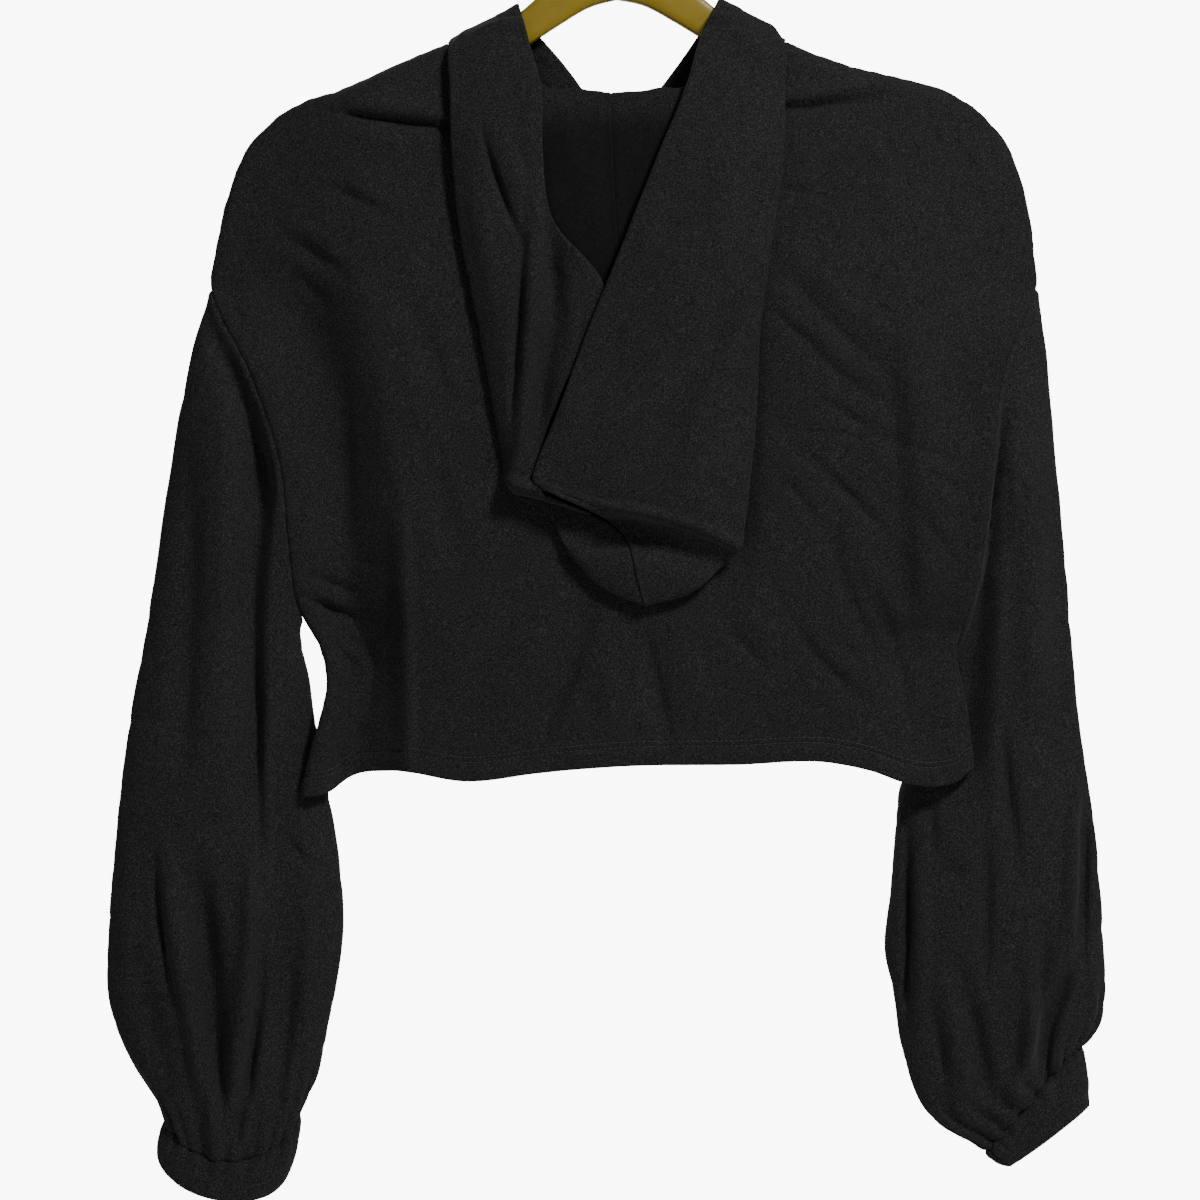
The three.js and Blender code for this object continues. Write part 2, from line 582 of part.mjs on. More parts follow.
// Solid bar through sections of the same number of points, with flat ends
function sectionBar(sections) {
  const sides = sections[0].length;
  const positions = sections.flat(2);
  const index = [];
  for (let i = 0; i < sections.length - 1; i += 1) {
    for (let j = 0; j < sides; j += 1) {
      const a = i * sides + j;
      const b = i * sides + ((j + 1) % sides);
      index.push(a, b + sides, b, a, a + sides, b + sides);
    }
  }
  const end = (sections.length - 1) * sides;
  for (let j = 1; j < sides - 1; j += 1) {
    index.push(0, j, j + 1, end, end + j + 1, end + j);
  }
  const geometry = new THREE.BufferGeometry();
  geometry.setAttribute("position", new THREE.Float32BufferAttribute(positions, 3));
  geometry.setIndex(index);
  return geometry;
}

// Both arms of the hanger as one bevelled bar
function hangerArms() {
  const top = lineThrough(ARM_TOP);
  const bottom = lineThrough(ARM_BOTTOM);
  const count = 36;
  const sections = [];
  for (let i = 0; i <= count; i += 1) {
    const x = mix(-HANGER_REACH, HANGER_REACH, i / count);
    const away = Math.abs(x);
    const lift = x * HANGER_TILT;
    const high = lift - top(away);
    const low = lift - bottom(away);
    const slim = mix(0.6, 1, ease((HANGER_REACH - away) / 12));
    const half = HANGER_HALF * slim;
    const flat = half - HANGER_BEVEL * slim;
    const bevel = Math.min(HANGER_BEVEL, (high - low) / 3);
    sections.push([
      [x, -flat, high], [x, flat, high], [x, half, high - bevel], [x, half, low + bevel],
      [x, flat, low], [x, -flat, low], [x, -half, low + bevel], [x, -half, high - bevel],
    ]);
  }
  return sectionBar(sections);
}

// The hook: a round bar that rises from the middle of the arms and turns over
function hangerHook() {
  const radius = HOOK_INSIDE + HOOK_WIRE;
  const centre = -HOOK_INSIDE;
  const foot = [[0, -60], [0, -48], [5, -41.5]];
  const points = foot.map(([x, z]) => new THREE.Vector3(x, 0, z));
  for (let degrees = -50; degrees <= 200; degrees += 25) {
    const angle = THREE.MathUtils.degToRad(degrees);
    points.push(new THREE.Vector3(radius * Math.cos(angle), 0, centre + radius * Math.sin(angle)));
  }
  const path = new THREE.CatmullRomCurve3(points);
  const section = new THREE.Shape();
  section.absarc(0, 0, HOOK_WIRE, 0, 2 * Math.PI);
  return new THREE.ExtrudeGeometry(section, { steps: 32, curveSegments: 4, extrudePath: path });
}

async function joined(first, second) {
  const wasm = await Module();
  wasm.setup();
  const solid = (source) => {
    const bare = source.clone();
    bare.deleteAttribute("normal");
    bare.deleteAttribute("uv");
    const merged = BufferGeometryUtils.mergeVertices(bare, 1e-4);
    return new wasm.Manifold(new wasm.Mesh({
      numProp: 3,
      vertProperties: new Float32Array(merged.attributes.position.array),
      triVerts: new Uint32Array(merged.index.array),
    }));
  };
  const mesh = solid(first).add(solid(second)).getMesh();
  const geometry = new THREE.BufferGeometry();
  geometry.setAttribute("position", new THREE.Float32BufferAttribute(mesh.vertProperties, 3));
  geometry.setIndex(Array.from(mesh.triVerts));
  return geometry;
}

function cloth() {
  return new THREE.MeshStandardMaterial({ color: 0x1f1f20, roughness: 0.95, metalness: 0 });
}

function mustard() {
  return new THREE.MeshStandardMaterial({ color: 0x857002, roughness: 0.55, metalness: 0 });
}

function addPiece(group, name, geometry, material) {
  geometry.computeVertexNormals();
  const mesh = new THREE.Mesh(geometry, material);
  mesh.name = name;
  group.add(mesh);
}

// A panel's shoulder and side seams lie on the middle plane, so their edges face along y
function panelSeams(i, j, lastLine, [x, y, z]) {
  const onEdge = i === 0 || i === lastLine || j === 0;
  return onEdge && Math.abs(y - bodyMiddle(x, -z)) < 1 ? ACROSS_BODY : null;
}

// The seam over the middle of the head is each half's last line
function hoodSeams(i, j, lastLine) {
  return i === lastLine ? ALONG_SHOULDERS : null;
}

// A sleeve ends at the wrist and a cuff starts there
function tubeSeams(wrist, fromWrist) {
  return (i, j, lastLine) => (i === (fromWrist ? 0 : lastLine) ? wrist : null);
}

function sleeveShape(left, armhole, creases) {
  return {
    bow: (share, facing) => {
      const edge = armholePoint(left, armhole, share, facing);
      const first = armholePoint(left, armhole, 0, 0);
      const last = armholePoint(left, armhole, 1, 0);
      return [edge[0] - mix(first[0], last[0], share), edge[1] + facing * ARMHOLE_DEPTH];
    },
    shiftX: left ? ARMHOLE_SHIFT.left : ARMHOLE_SHIFT.right,
    shiftDrop: 0,
    creases,
    gathers: (share) => GATHER_DEPTH * ease((share - 0.72) / 0.28),
  };
}

function cuffShape(sleeve, wrist) {
  return {
    shiftX: sleeve.shiftX + wrist.x * CUFF_GAP,
    shiftDrop: -wrist.z * CUFF_GAP,
    creases: [],
    gathers: (share) => GATHER_DEPTH * (1 - ease(share)),
  };
}

const top = new THREE.Group();
addPiece(top, "panel_back", clothWall(panels.back, false, panelSeams), cloth());
addPiece(top, "panel_front", clothWall(panels.front, false, panelSeams), cloth());
addPiece(top, "hood_left", clothWall(hoodGrid(HOOD_LEFT, LEFT_BAND_CREASES), false, hoodSeams), cloth());
addPiece(top, "hood_right", clothWall(hoodGrid(HOOD_RIGHT, RIGHT_BAND_CREASES), false, hoodSeams), cloth());

const leftShape = sleeveShape(true, ARMHOLE_LEFT, LEFT_SLEEVE_CREASES);
const rightShape = sleeveShape(false, ARMHOLE_RIGHT, RIGHT_SLEEVE_CREASES);
const leftSleeve = tubeGrid(LEFT_SLEEVE, SLEEVE_ROWS, leftShape);
const rightSleeve = tubeGrid(RIGHT_SLEEVE, SLEEVE_ROWS, rightShape);
addPiece(top, "sleeve_left", clothWall(leftSleeve, true, tubeSeams(LEFT_WRIST, false)), cloth());
addPiece(top, "sleeve_right", clothWall(rightSleeve, true, tubeSeams(RIGHT_WRIST, false)), cloth());

const leftCuff = tubeGrid(LEFT_CUFF, CUFF_ROWS, cuffShape(leftShape, LEFT_WRIST));
const rightCuff = tubeGrid(RIGHT_CUFF, CUFF_ROWS, cuffShape(rightShape, RIGHT_WRIST));
addPiece(top, "cuff_left", clothWall(leftCuff, true, tubeSeams(LEFT_WRIST, true)), cloth());
addPiece(top, "cuff_right", clothWall(rightCuff, true, tubeSeams(RIGHT_WRIST, true)), cloth());

addPiece(top, "hanger", await joined(hangerArms(), hangerHook()), mustard());

export default top;
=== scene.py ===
"""Looks of a hooded crop top on a moulded hanger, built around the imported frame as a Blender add-on.

Lengths in the constants and the tables are in millimetres, and those in properties are in metres. Places
on the garment are x and drop, where drop is the distance below the inside top of the hook. -Y is the side
of the hood, which the camera sees.
"""

import math

import bpy
import numpy as np
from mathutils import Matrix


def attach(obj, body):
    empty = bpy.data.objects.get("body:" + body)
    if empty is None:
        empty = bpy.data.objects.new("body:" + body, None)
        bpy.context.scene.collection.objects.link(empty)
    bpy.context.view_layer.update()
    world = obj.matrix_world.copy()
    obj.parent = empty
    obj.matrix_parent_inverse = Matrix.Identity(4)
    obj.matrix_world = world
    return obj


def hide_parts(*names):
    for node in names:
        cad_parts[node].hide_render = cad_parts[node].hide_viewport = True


bl_info = {
    "name": "Hooded crop top",
    "version": (1, 0, 0),
    "blender": (4, 5, 0),
    "location": "3D View > Sidebar > Crop Top",
    "description": "Builds the cloth, stitching, hanger and studio of a hooded crop top",
    "category": "Object",
}

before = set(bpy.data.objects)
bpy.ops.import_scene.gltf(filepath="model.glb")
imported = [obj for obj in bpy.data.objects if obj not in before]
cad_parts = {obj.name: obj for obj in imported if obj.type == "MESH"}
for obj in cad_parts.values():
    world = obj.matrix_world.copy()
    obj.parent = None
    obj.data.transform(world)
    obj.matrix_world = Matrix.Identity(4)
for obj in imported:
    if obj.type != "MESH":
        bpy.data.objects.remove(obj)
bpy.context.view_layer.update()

MM = 1000

# Sizes shared with the solids
SHOULDER_TURN = 9
SIDE_TURN = 6
SIDE_DEPTH = 4
SIDE_REACH = 90
ARMHOLE_DEPTH = 15
PANEL_GAP = 0.1
NECK_LEFT = -102
NECK_RIGHT = 101
HOOD_ROLL = 4
HOOD_RISE = 13
HOOD_LIFT = 3
FOLD_SHARE = 0.16
SLEEVE_SHIFT = {"left": -0.2, "right": 0.6}
CUFF_GAP = 0.6
HANGER_TILT = 0.026
HANGER_REACH = 211
HANGER_HALF_DEPTH = 4.9
HOOK_WIRE = 3.5
HOOK_INSIDE = 19

# Creases: how far an eased profile reaches past the half width, how much a skew of 1 narrows its steep
# side, and the length over which its ends fade, which is at most a share of the whole
CREASE_SPREAD = 1.6
CREASE_SKEW = 0.72
CREASE_FADE = 64
CREASE_FADE_SHARE = 0.48
PANEL_RELIEF = 1.3
SLEEVE_RELIEF = 1.25

# Unevenness of the cloth: spacing of its thin creases and their height, and sizes of its ripples with
# the shares of the slow and the quick height in each
WRINKLE_PERIODS = (34, 41, 52, 66)
WRINKLE_HEIGHT = 0.6
RIPPLES = ((110, 1, 0), (62, 0.6, 0), (26, 0, 1), (14, 0, 0.5))

# Roll at the hood's lower edge: x of the ends of its change from the left form to the right one, and for
# these forms the height of the swell, its half width and the depth of the cloth below
ROLL_ENDS = (-30, 60)
ROLL_SWELL = (6.8, 2)
ROLL_HALF_WIDTH = (7, 5)
ROLL_SINK = (11, 4.95)
ROLL_CREST = 3.2

# Seams and hems: depth and width of a groove, and height, place and width of the swell beside it
SEAM_GROOVE = (1, 1.1)
SEAM_SWELL = (0.35, 4, 2.6)
PUCKER_SIZES = (9, 13, 21)
PUCKER_HEIGHT = 0.16
PUCKER_FADE = 9
STITCH_GROOVE = (0.55, 0.8)
HEM_SWELL = 0.45
HEM_STEP = 0.35
HEM_DOUBLING = 0.55
GATHER_REACH = {"sleeve": 70, "cuff": 20}

# Thread: width and height of a stitch at its rings, in thread radii, and points of a ring
STITCH_WIDTHS = (0.25, 0.85, 1, 0.85, 0.25)
STITCH_HEIGHTS = (-0.5, 0.45, 0.75, 0.45, -0.5)
STITCH_SIDES = 6

# Spacing of grid lines, the lengths that they are spaced for, and points around the tubes
PANEL_STEP, PANEL_HEIGHT = 2.5, 430
HOOD_ROW_STEP, HOOD_ROW = 1.9, 20
HOOD_STATION_STEP, HOOD_STATION = 1.75, 24
SLEEVE_STEP, SLEEVE_ROW, SLEEVE_SIDES = 2.6, 40, 160
CUFF_STEP, CUFF_HEIGHT, CUFF_SIDES = 1.5, 36, 220
HANGER_SIDES = 40
FLOOR_SIDES = 96

# Seed of each piece of cloth, from which the seeds of its separate random draws are counted
SEEDS = {
    "cloth_panel_back": 11,
    "cloth_panel_front": 12,
    "cloth_hood_left": 31,
    "cloth_hood_right": 32,
    "cloth_sleeve_left": 51,
    "cloth_sleeve_right": 61,
    "cloth_cuff_left": 52,
    "cloth_cuff_right": 62,
}

# Shoulder line, hem and neck edges: x, drop
SHOULDER = [
    (-235, 198), (-226, 171), (-208, 147), (-190, 135), (-166, 127), (-130, 111), (-102, 99),
    (-60, 76), (0, 60), (60, 74), (101, 98),
    (140, 113), (170, 120), (200, 129), (221, 144), (236, 165), (243, 186), (248, 210),
]
HEM = [
    (-188, 549), (-173, 546), (-160, 537), (-136, 533), (-88, 539), (-46, 534), (2, 530),
    (70, 529), (128, 528), (152, 533), (172, 540), (192, 542), (205, 538), (212, 531),
]
NECK_BACK = [
    (-102, 99), (-85, 116), (-60, 129), (-30, 137), (0, 139), (30, 137), (60, 129), (85, 115), (101, 98),
]
NECK_FRONT = [
    (-102, 99), (-82, 117), (-52, 139), (-22, 155), (0, 165), (22, 155), (52, 138), (82, 116), (101, 98),
]

# Side edges: drop, x
SIDE_LEFT = [
    (198, -235), (222, -240), (246, -243), (264, -236), (286, -224), (312, -213), (351, -201),
    (400, -196), (441, -189), (456, -180), (470, -175), (486, -174), (504, -178), (525, -184), (549, -188),
]
SIDE_RIGHT = [
    (210, 248), (230, 250), (246, 251), (262, 244), (280, 235), (300, 229), (342, 224),
    (384, 220), (425, 214), (450, 206), (462, 203), (480, 206), (495, 209), (515, 211), (531, 212),
]
ARMHOLE_LEFT = (246, 441)
ARMHOLE_RIGHT = (246, 450)

# Half depth of the body: drop, depth
BODY_DEPTH = [(60, 9), (99, 9), (130, 11), (180, 15), (260, 20), (350, 23), (450, 22), (549, 18)]

# Creases: x, drop of one end, x, drop of the other, half width, height, bow of the line, skew.
# A height below zero is a trough. A skew above zero makes the side to the right of a line that runs
# down, or above a line that runs to the right, the steeper one.
BACK_CREASES = [
    (-195, 212, -160, 650, 24, -10.5, 17, 0),
    (-127, 350, -121, 650, 5.5, 3, 0, 0.5),
    (-188, 290, -178, 520, 14, 3, 0, 0),
    (-168, 262, -160, 420, 6, -1.4, 3, 0.3),
    (-196, 134, -58, 151, 3, -4.4, -3.5, 0.5),
    (-186, 129, -70, 142, 6, 2.2, -3, 0),
    (-174, 152, -110, 160, 5, 1.4, -2, 0),
    (58, 146, 178, 130, 4, -4, 1.5, 0.1),
    (66, 140, 166, 123, 6, 2, 1, 0),
    (84, 112, 142, 106, 2.8, -2.4, 4, 0.3),
    (90, 186, 121, 189, 2.4, -1.6, 0, 0.3),
    (-186, 180, -126, 209, 4, -1.7, 2, 0.3),
    (-182, 174, -126, 200, 5, 1.1, 2, 0),
    (-210, 208, -150, 248, 4.5, -1.9, 2, 0.3),
    (-206, 200, -150, 238, 5, 1.2, 2, 0),
    (-204, 228, -162, 267, 4, -1.3, 2, 0.3),
    (-134, 232, -98, 336, 9, -1.6, 4, 0.2),
    (-112, 320, -88, 430, 10, -1.8, -4, 0.2),
    (82, 214, 178, 312, 4, -1.3, -4, 0.3),
    (88, 206, 180, 290, 6, 1, -3, 0),
    (84, 248, 178, 326, 3.2, -1.3, -7, 0.3),
    (86, 240, 176, 316, 5, 1, -6, 0),
    (86, 258, 140, 298, 3, -1.2, 2, 0.3),
    (102, 297, 178, 343, 3.2, -1.1, -3, 0.3),
    (104, 291, 178, 336, 4.5, 0.6, -3, 0),
    (104, 320, 134, 310, 4, 1, 5, 0),
    (80, 330, 182, 344, 2.8, -1.2, 4, 0.2),
    (94, 330, 162, 402, 3.2, -1.1, 5, 0.3),
    (84, 346, 130, 404, 3.2, -1.2, 4, 0.2),
    (112, 344, 182, 420, 3, -1.4, 3, 0.2),
    (124, 376, 170, 486, 4.6, -1.8, -7, 0.4),
    (134, 372, 186, 462, 7, 1.9, -6, 0),
    (148, 414, 178, 530, 6, -2.1, 5, 0.3),
    (100, 440, 158, 500, 3.6, -1.7, -4, 0.3),
    (106, 436, 162, 494, 5, 0.9, -4, 0),
    (56, 430, 98, 482, 3.6, -1.6, -3, 0.3),
    (70, 430, 108, 470, 6, 1, -3, 0),
    (76, 496, 120, 484, 3, -1.1, 0, 0.2),
    (160, 340, 214, 354, 2.8, -1.5, 3, 0.2),
    (172, 350, 214, 373, 2.8, -1.3, 2, 0.2),
    (172, 366, 210, 414, 3.6, -1.7, -3, 0.3),
    (172, 248, 186, 480, 14, 5, 2, -0.45),
    (72, 222, 66, 450, 13, -4.5, 0, 0),
    (207, 396, 184, 478, 5.5, -2.6, 3, 0.3),
    (200, 422, 166, 468, 4, -1.7, 2, 0.2),
    (-10, 414, -58, 540, 6.5, -2.7, 5, 0.4),
    (-38, 414, -88, 540, 12, 1.8, 4, 0),
    (8, 428, 34, 540, 7, -2.9, 3, 0.4),
    (32, 430, 56, 538, 9, 1.6, 2, 0),
    (-8, 436, -2, 530, 8, 1.4, 0, 0),
    (-128, 474, -48, 420, 4, -1.4, 3, 0.2),
    (-112, 498, -56, 458, 4, -1.2, 3, 0.2),
    (-202, 422, -152, 447, 3, -5.4, 0, 0.2),
    (-200, 412, -150, 430, 3, -3.4, 1, 0.2),
    (-186, 448, -138, 475, 3, -4.4, 0, 0.2),
    (-178, 479, -144, 497, 4, -1.5, 1, 0.2),
]
FRONT_CREASES = [
    (150, 236, 138, 640, 19, -11, -2, 0.6),
    (118, 380, 120, 640, 11, 3, 0, 0),
    (172, 290, 168, 500, 14, 3, 0, 0),
    (188, 135, 102, 146, 3.4, -4, 3.5, -0.5),
    (180, 129, 106, 139, 6, 2.2, 3, 0),
    (-188, 134, -104, 146, 3.4, -3.8, -3, 0.5),
    (-168, 184, -120, 236, 6, -3.8, 3, 0.4),
    (166, 184, 122, 240, 6, -3.6, -3, -0.4),
    (-76, 170, -36, 330, 8, -4.2, 5, 0.4),
    (-56, 180, -14, 320, 9, 2, 4, 0),
    (74, 170, 28, 330, 8, -4.2, -5, -0.4),
    (-60, 200, 10, 270, 4, -2.4, 4, 0.4),
    (56, 196, -6, 268, 4, -2.4, -4, -0.4),
    (-130, 300, -172, 420, 8, -3.4, -3, 0.4),
    (-98, 300, -168, 338, 4, -2.8, -3, 0.4),
    (-150, 410, -118, 640, 11, -5.4, 3, 0.5),
    (-196, 214, -158, 246, 6, -3.4, 2, 0.4),
    (-42, 424, -66, 540, 8, -4.2, -3, 0.5),
    (-14, 420, -8, 530, 10, 2, 0, 0),
    (36, 404, 56, 530, 8, -4.2, -3, 0.5),
    (80, 430, 96, 540, 7, -3.4, 3, 0.4),
    (-96, 446, -104, 540, 8, 2.2, 0, 0),
    (190, 428, 166, 442, 2.8, -2.6, 0, 0.3),
    (-176, 452, -150, 470, 2.8, -2.6, 0, 0.3),
    (100, 352, 168, 384, 3.6, -2.4, 4, 0.3),
    (-60, 372, 30, 398, 4, -2, 5, 0.3),
]
LEFT_SLEEVE_CREASES = [
    (-248, 226, -222, 396, 8, -10, 8, 0.4),
    (-222, 316, -216, 620, 9, -7.5, 1, 0.4),
    (-214, 440, -213, 690, 3.4, -3.6, 1, 0.5),
    (-226, 420, -222, 640, 7, 2.4, 1, 0),
    (-242, 290, -240, 560, 12, 3, 3, 0),
    (-256, 330, -262, 560, 8, -2.6, 3, 0.3),
    (-212, 490, -234, 768, 6, 5.4, 7, 0.45),
    (-211, 636, -232, 774, 4.6, -7.4, 3, 0.3),
    (-276, 560, -238, 764, 6, 5, -1, -0.3),
    (-276, 566, -262, 680, 3, -5, -2, 0.5),
    (-256, 570, -237, 760, 8.5, -7.6, 4, 0),
    (-203, 510, -205, 730, 12, -4.6, 0, -0.2),
    (-201, 572, -180, 594, 3.6, -2.8, 0, 0.3),
    (-181, 590, -188, 726, 7, 2.6, 0, 0),
    (-190, 640, -204, 762, 5, -3.6, -2, 0.3),
    (-288, 640, -264, 740, 7, -3, 0, 0),
    (-294, 550, -294, 690, 7, 2.4, 0, 0),
    (-242, 700, -240, 768, 3.4, 3.2, 0, 0),
    (-222, 700, -222, 768, 3.4, 3, 0, 0),
]
LEFT_SLEEVE_BACK_CREASES = [
    (-234, 258, -222, 430, 9, -8, 2, 0.5),
    (-222, 400, -234, 620, 7, -5.6, 3, 0.5),
    (-250, 500, -246, 740, 7, -5.2, 3, 0.4),
    (-238, 520, -232, 740, 8, 3.4, 3, 0),
    (-270, 590, -254, 748, 6, 4, 3, 0),
    (-204, 580, -216, 750, 7, -5.4, -3, 0.4),
    (-190, 560, -194, 710, 7, 3, 0, 0),
    (-278, 380, -284, 580, 7, -3.4, 2, 0.3),
    (-224, 640, -228, 756, 5, -5, 0, 0.4),
]
RIGHT_SLEEVE_CREASES = [
    (238, 256, 223, 420, 8, -10, -2, -0.3),
    (226, 350, 206, 572, 11, -7, -2, 0),
    (236, 320, 224, 580, 5, 1.8, -2, 0.3),
    (246, 300, 250, 520, 10, 3, 2, 0),
    (262, 330, 264, 540, 7, -3, 2, 0.3),
    (226, 490, 240, 612, 4, -5, 2, 0.3),
    (187, 536, 190, 596, 3.4, -2.8, 0, 0.3),
    (190, 592, 212, 598, 5, -2.6, 0, 0.2),
    (219, 552, 218, 676, 4.6, -5, 2, 0.3),
    (246, 606, 243, 748, 4.6, 4.4, 3, 0.4),
    (254, 606, 252, 716, 7, -5, 0, -0.2),
    (277, 520, 270, 664, 4, 5, -1, 0.4),
    (272, 632, 236, 760, 4.4, 5, -9, 0.3),
    (284, 520, 278, 668, 4, -7, -1, 0.4),
    (278, 636, 256, 736, 4.4, -8, -6, 0.4),
    (173, 546, 172, 708, 3, -7.4, 2, 0.3),
    (181, 560, 180, 716, 5, 3.4, 0, -0.3),
    (200, 636, 222, 760, 7, -5, 4, 0.3),
    (188, 640, 210, 756, 7, 3.4, 4, 0),
    (184, 660, 198, 750, 4.6, -3, 3, 0.3),
]
RIGHT_SLEEVE_BACK_CREASES = [
    (240, 262, 230, 440, 9, -8, -3, 0.4),
    (234, 420, 248, 620, 7, -5.6, 3, 0.5),
    (262, 540, 264, 700, 7, -5.2, 2, 0.4),
    (206, 550, 216, 740, 7, -5.4, 3, 0.4),
    (188, 560, 198, 720, 7, 3.4, 3, 0),
    (232, 600, 240, 730, 7, 3.6, 2, 0),
    (224, 640, 228, 748, 4.6, -4.6, 0, 0.4),
]
LEFT_BAND_CREASES = [
    (-84, 140, -51, 232, 2.6, -5, -2, 0.4),
    (-76, 138, -48, 208, 6, 1.8, -2, 0),
    (-54, 200, -66, 352, 2.8, -6, 2, 0.4),
    (-49, 176, -61, 372, 4.4, 3.6, 3, 0),
    (-42, 184, -40, 310, 6.5, -9.6, 2, -0.4),
    (-42, 262, -48, 356, 6, -8, 0, -0.3),
    (-88, 170, -78, 270, 8, 1.8, 0, 0),
    (-30, 214, -12, 252, 5, 2, 3, 0),
]
HOOD_INSIDE_CREASES = [
    (-46, 172, -6, 268, 5, 4, 2, 0.3),
    (-38, 144, -2, 240, 8, 3, 2, 0),
    (44, 142, 6, 240, 8, 2.6, 0, 0),
]
RIGHT_BAND_CREASES = [
    (76, 226, 44, 306, 7, -3.4, 5, 0.4),
    (56, 290, 4, 356, 7, -3.2, 5, 0.4),
    (62, 300, 16, 362, 8, 2, 5, 0),
    (88, 168, 68, 240, 7, -2.4, 3, 0.3),
    (60, 338, 20, 372, 6, 2, 2, 0),
    (44, 330, 24, 352, 3.4, -2.2, 2, 0.3),
    (12, 262, 34, 276, 3, -2.6, 0, 0.3),
    (9, 269, 3, 279, 3, 3, 0, 0),
    (66, 150, 62, 230, 9, 1.8, 0, 0),
    (-22, 300, -36, 340, 7, 2.4, 2, 0),
    (30, 190, 10, 240, 8, 1.6, 0, 0),
]

# Lower edge of the hood's roll, in front of the cloth below it: x, drop
HOOD_ROLL_EDGE = [
    (-80, 364), (-65, 367.5), (-48, 370), (-32, 375), (-9, 381.5), (14, 383), (32, 387),
    (50, 393), (64, 399), (76, 405), (90, 411),
]

# Sleeves and cuffs: outer x, drop, inner x, drop, half depth, middle y, bow, dip
LEFT_SLEEVE = [
    (-243, 246, -189, 441, 15, 0, 1, 0),
    (-252, 275, -190, 450, 16, 1, 0.7, 0),
    (-260, 315, -188, 466, 17, 4, 0.35, 0),
    (-268, 360, -185, 486, 18, 8, 0.1, 0),
    (-276, 405, -182, 506, 18, 11, 0, 0),
    (-283, 450, -178, 528, 18, 12, 0, 0),
    (-291, 505, -173, 552, 18, 11, 0, 0),
    (-299, 565, -168, 588, 18, 8, 0, 0),
    (-304, 630, -166, 632, 18, 5, 0, 0),
    (-302, 678, -170, 666, 17, 4, 0, 1),
    (-291, 706, -176, 698, 16, 3, 0, 6),
    (-277, 726, -182, 719, 15, 2, 0, 17),
    (-267, 739, -193, 738, 13, 2, 0, 29),
]
RIGHT_SLEEVE = [
    (251, 246, 206, 450, 15, 0, 1, 0),
    (256, 282, 203, 461, 16, 4, 0.7, 0),
    (260, 320, 195, 482, 17, 13, 0.35, 0),
    (264, 362, 192, 501, 18, 19, 0.1, 0),
    (268, 405, 181, 523, 18, 19, 0, 0),
    (272, 450, 171, 545, 18, 17, 0, 0),
    (277, 505, 167, 572, 18, 12.5, 0, 0),
    (284, 558, 164, 606, 18, 8.5, 0, 0),
    (289, 615, 161, 640, 18, 5, 0, 0),
    (291, 660, 167, 674, 17, 4, 0, 0),
    (289, 682, 174, 712, 16, 3, 0, 0),
    (283, 693, 188, 742, 13, 2, 0, 0),
    (275, 699, 221, 762, 10, 2, 0, 0),
]
LEFT_CUFF = [
    (-267, 739, -193, 738, 13, 2, 0, 29),
    (-272, 750, -195, 756, 14, 2, 0, 26),
    (-275, 762, -199, 774, 14, 2, 0, 21),
]
RIGHT_CUFF = [
    (275, 699, 221, 762, 10, 2, 0, 0),
    (279, 717, 228, 767, 9, 3, 0, 0),
    (281, 735, 235, 771, 8, 4, 0, 0),
]
SLEEVES = {
    "left": (LEFT_SLEEVE, LEFT_SLEEVE_CREASES, LEFT_SLEEVE_BACK_CREASES),
    "right": (RIGHT_SLEEVE, RIGHT_SLEEVE_CREASES, RIGHT_SLEEVE_BACK_CREASES),
}

# Each cuff with the direction of its wrist
CUFFS = {"left": (LEFT_CUFF, (0, 0, -1)), "right": (RIGHT_CUFF, (0.77, 0, -0.64))}

# Hood, a row for each line of cloth: place on the neck, side (1 front, -1 back), rise of the roll,
# outer fold x, y, drop, middle of the band x, y, drop, and face edge x, y, drop
HOOD_LEFT = [
    (-1, 1, 0, -2, 14, 160, -3, 14, 156, -4, 14, 151),
    (-48, 1, 0, -43, 13, 131, -37, 13, 122, -31, 13, 112),
    (-84, 1, 0, -75, 11, 108, -62, 11, 102, -46, 10, 95),
    (-97, 1, 0, -87, 8, 98, -73, 8.5, 91, -57, 8.5, 83),
    (-101, 0, 0, -90, 0, 91, -76, 0, 84, -60, 0, 75),
    (-97, -1, 3, -99, -14, 103, -79, -16, 97, -57, -10, 86),
    (-88, -1, 6, -99, -19, 128, -76, -20, 117, -53, -15, 101),
    (-70, -1, 10, -98, -22, 165, -72, -26, 150, -46, -23, 128),
    (-52, -1, 12, -93, -24, 215, -66, -31, 190, -45, -29, 165),
    (-36, -1, 12, -83, -26, 265, -56, -34, 235, -40, -31, 204),
    (-23, -1, 13, -73, -28.5, 315, -47, -35, 285, -8, -32, 249),
    (-16, -1, 13, -66, -29.5, 350, -52, -36, 335, -36, -35, 315),
    (-13, -1, 13, -64, -31, 364, -57, -36, 364, -48, -36, 357),
    (-11, -1, 13, -60, -30, 369, -54, -33, 369, -48, -34.5, 363),
    (-9, -1, 13, -41, -30, 379, -43, -32.5, 373, -47.5, -34.5, 365),
    (-8, -1, 13, -31, -30, 399, -33, -32.5, 383, -46.6, -34.5, 367),
    (-7, -1, 13, -10, -30, 423, -22, -33, 394, -46, -34.5, 368),
    (-5.3, -1, 13, 15.6, -30, 434, 4, -35, 396, -45, -34.5, 369.5),
]
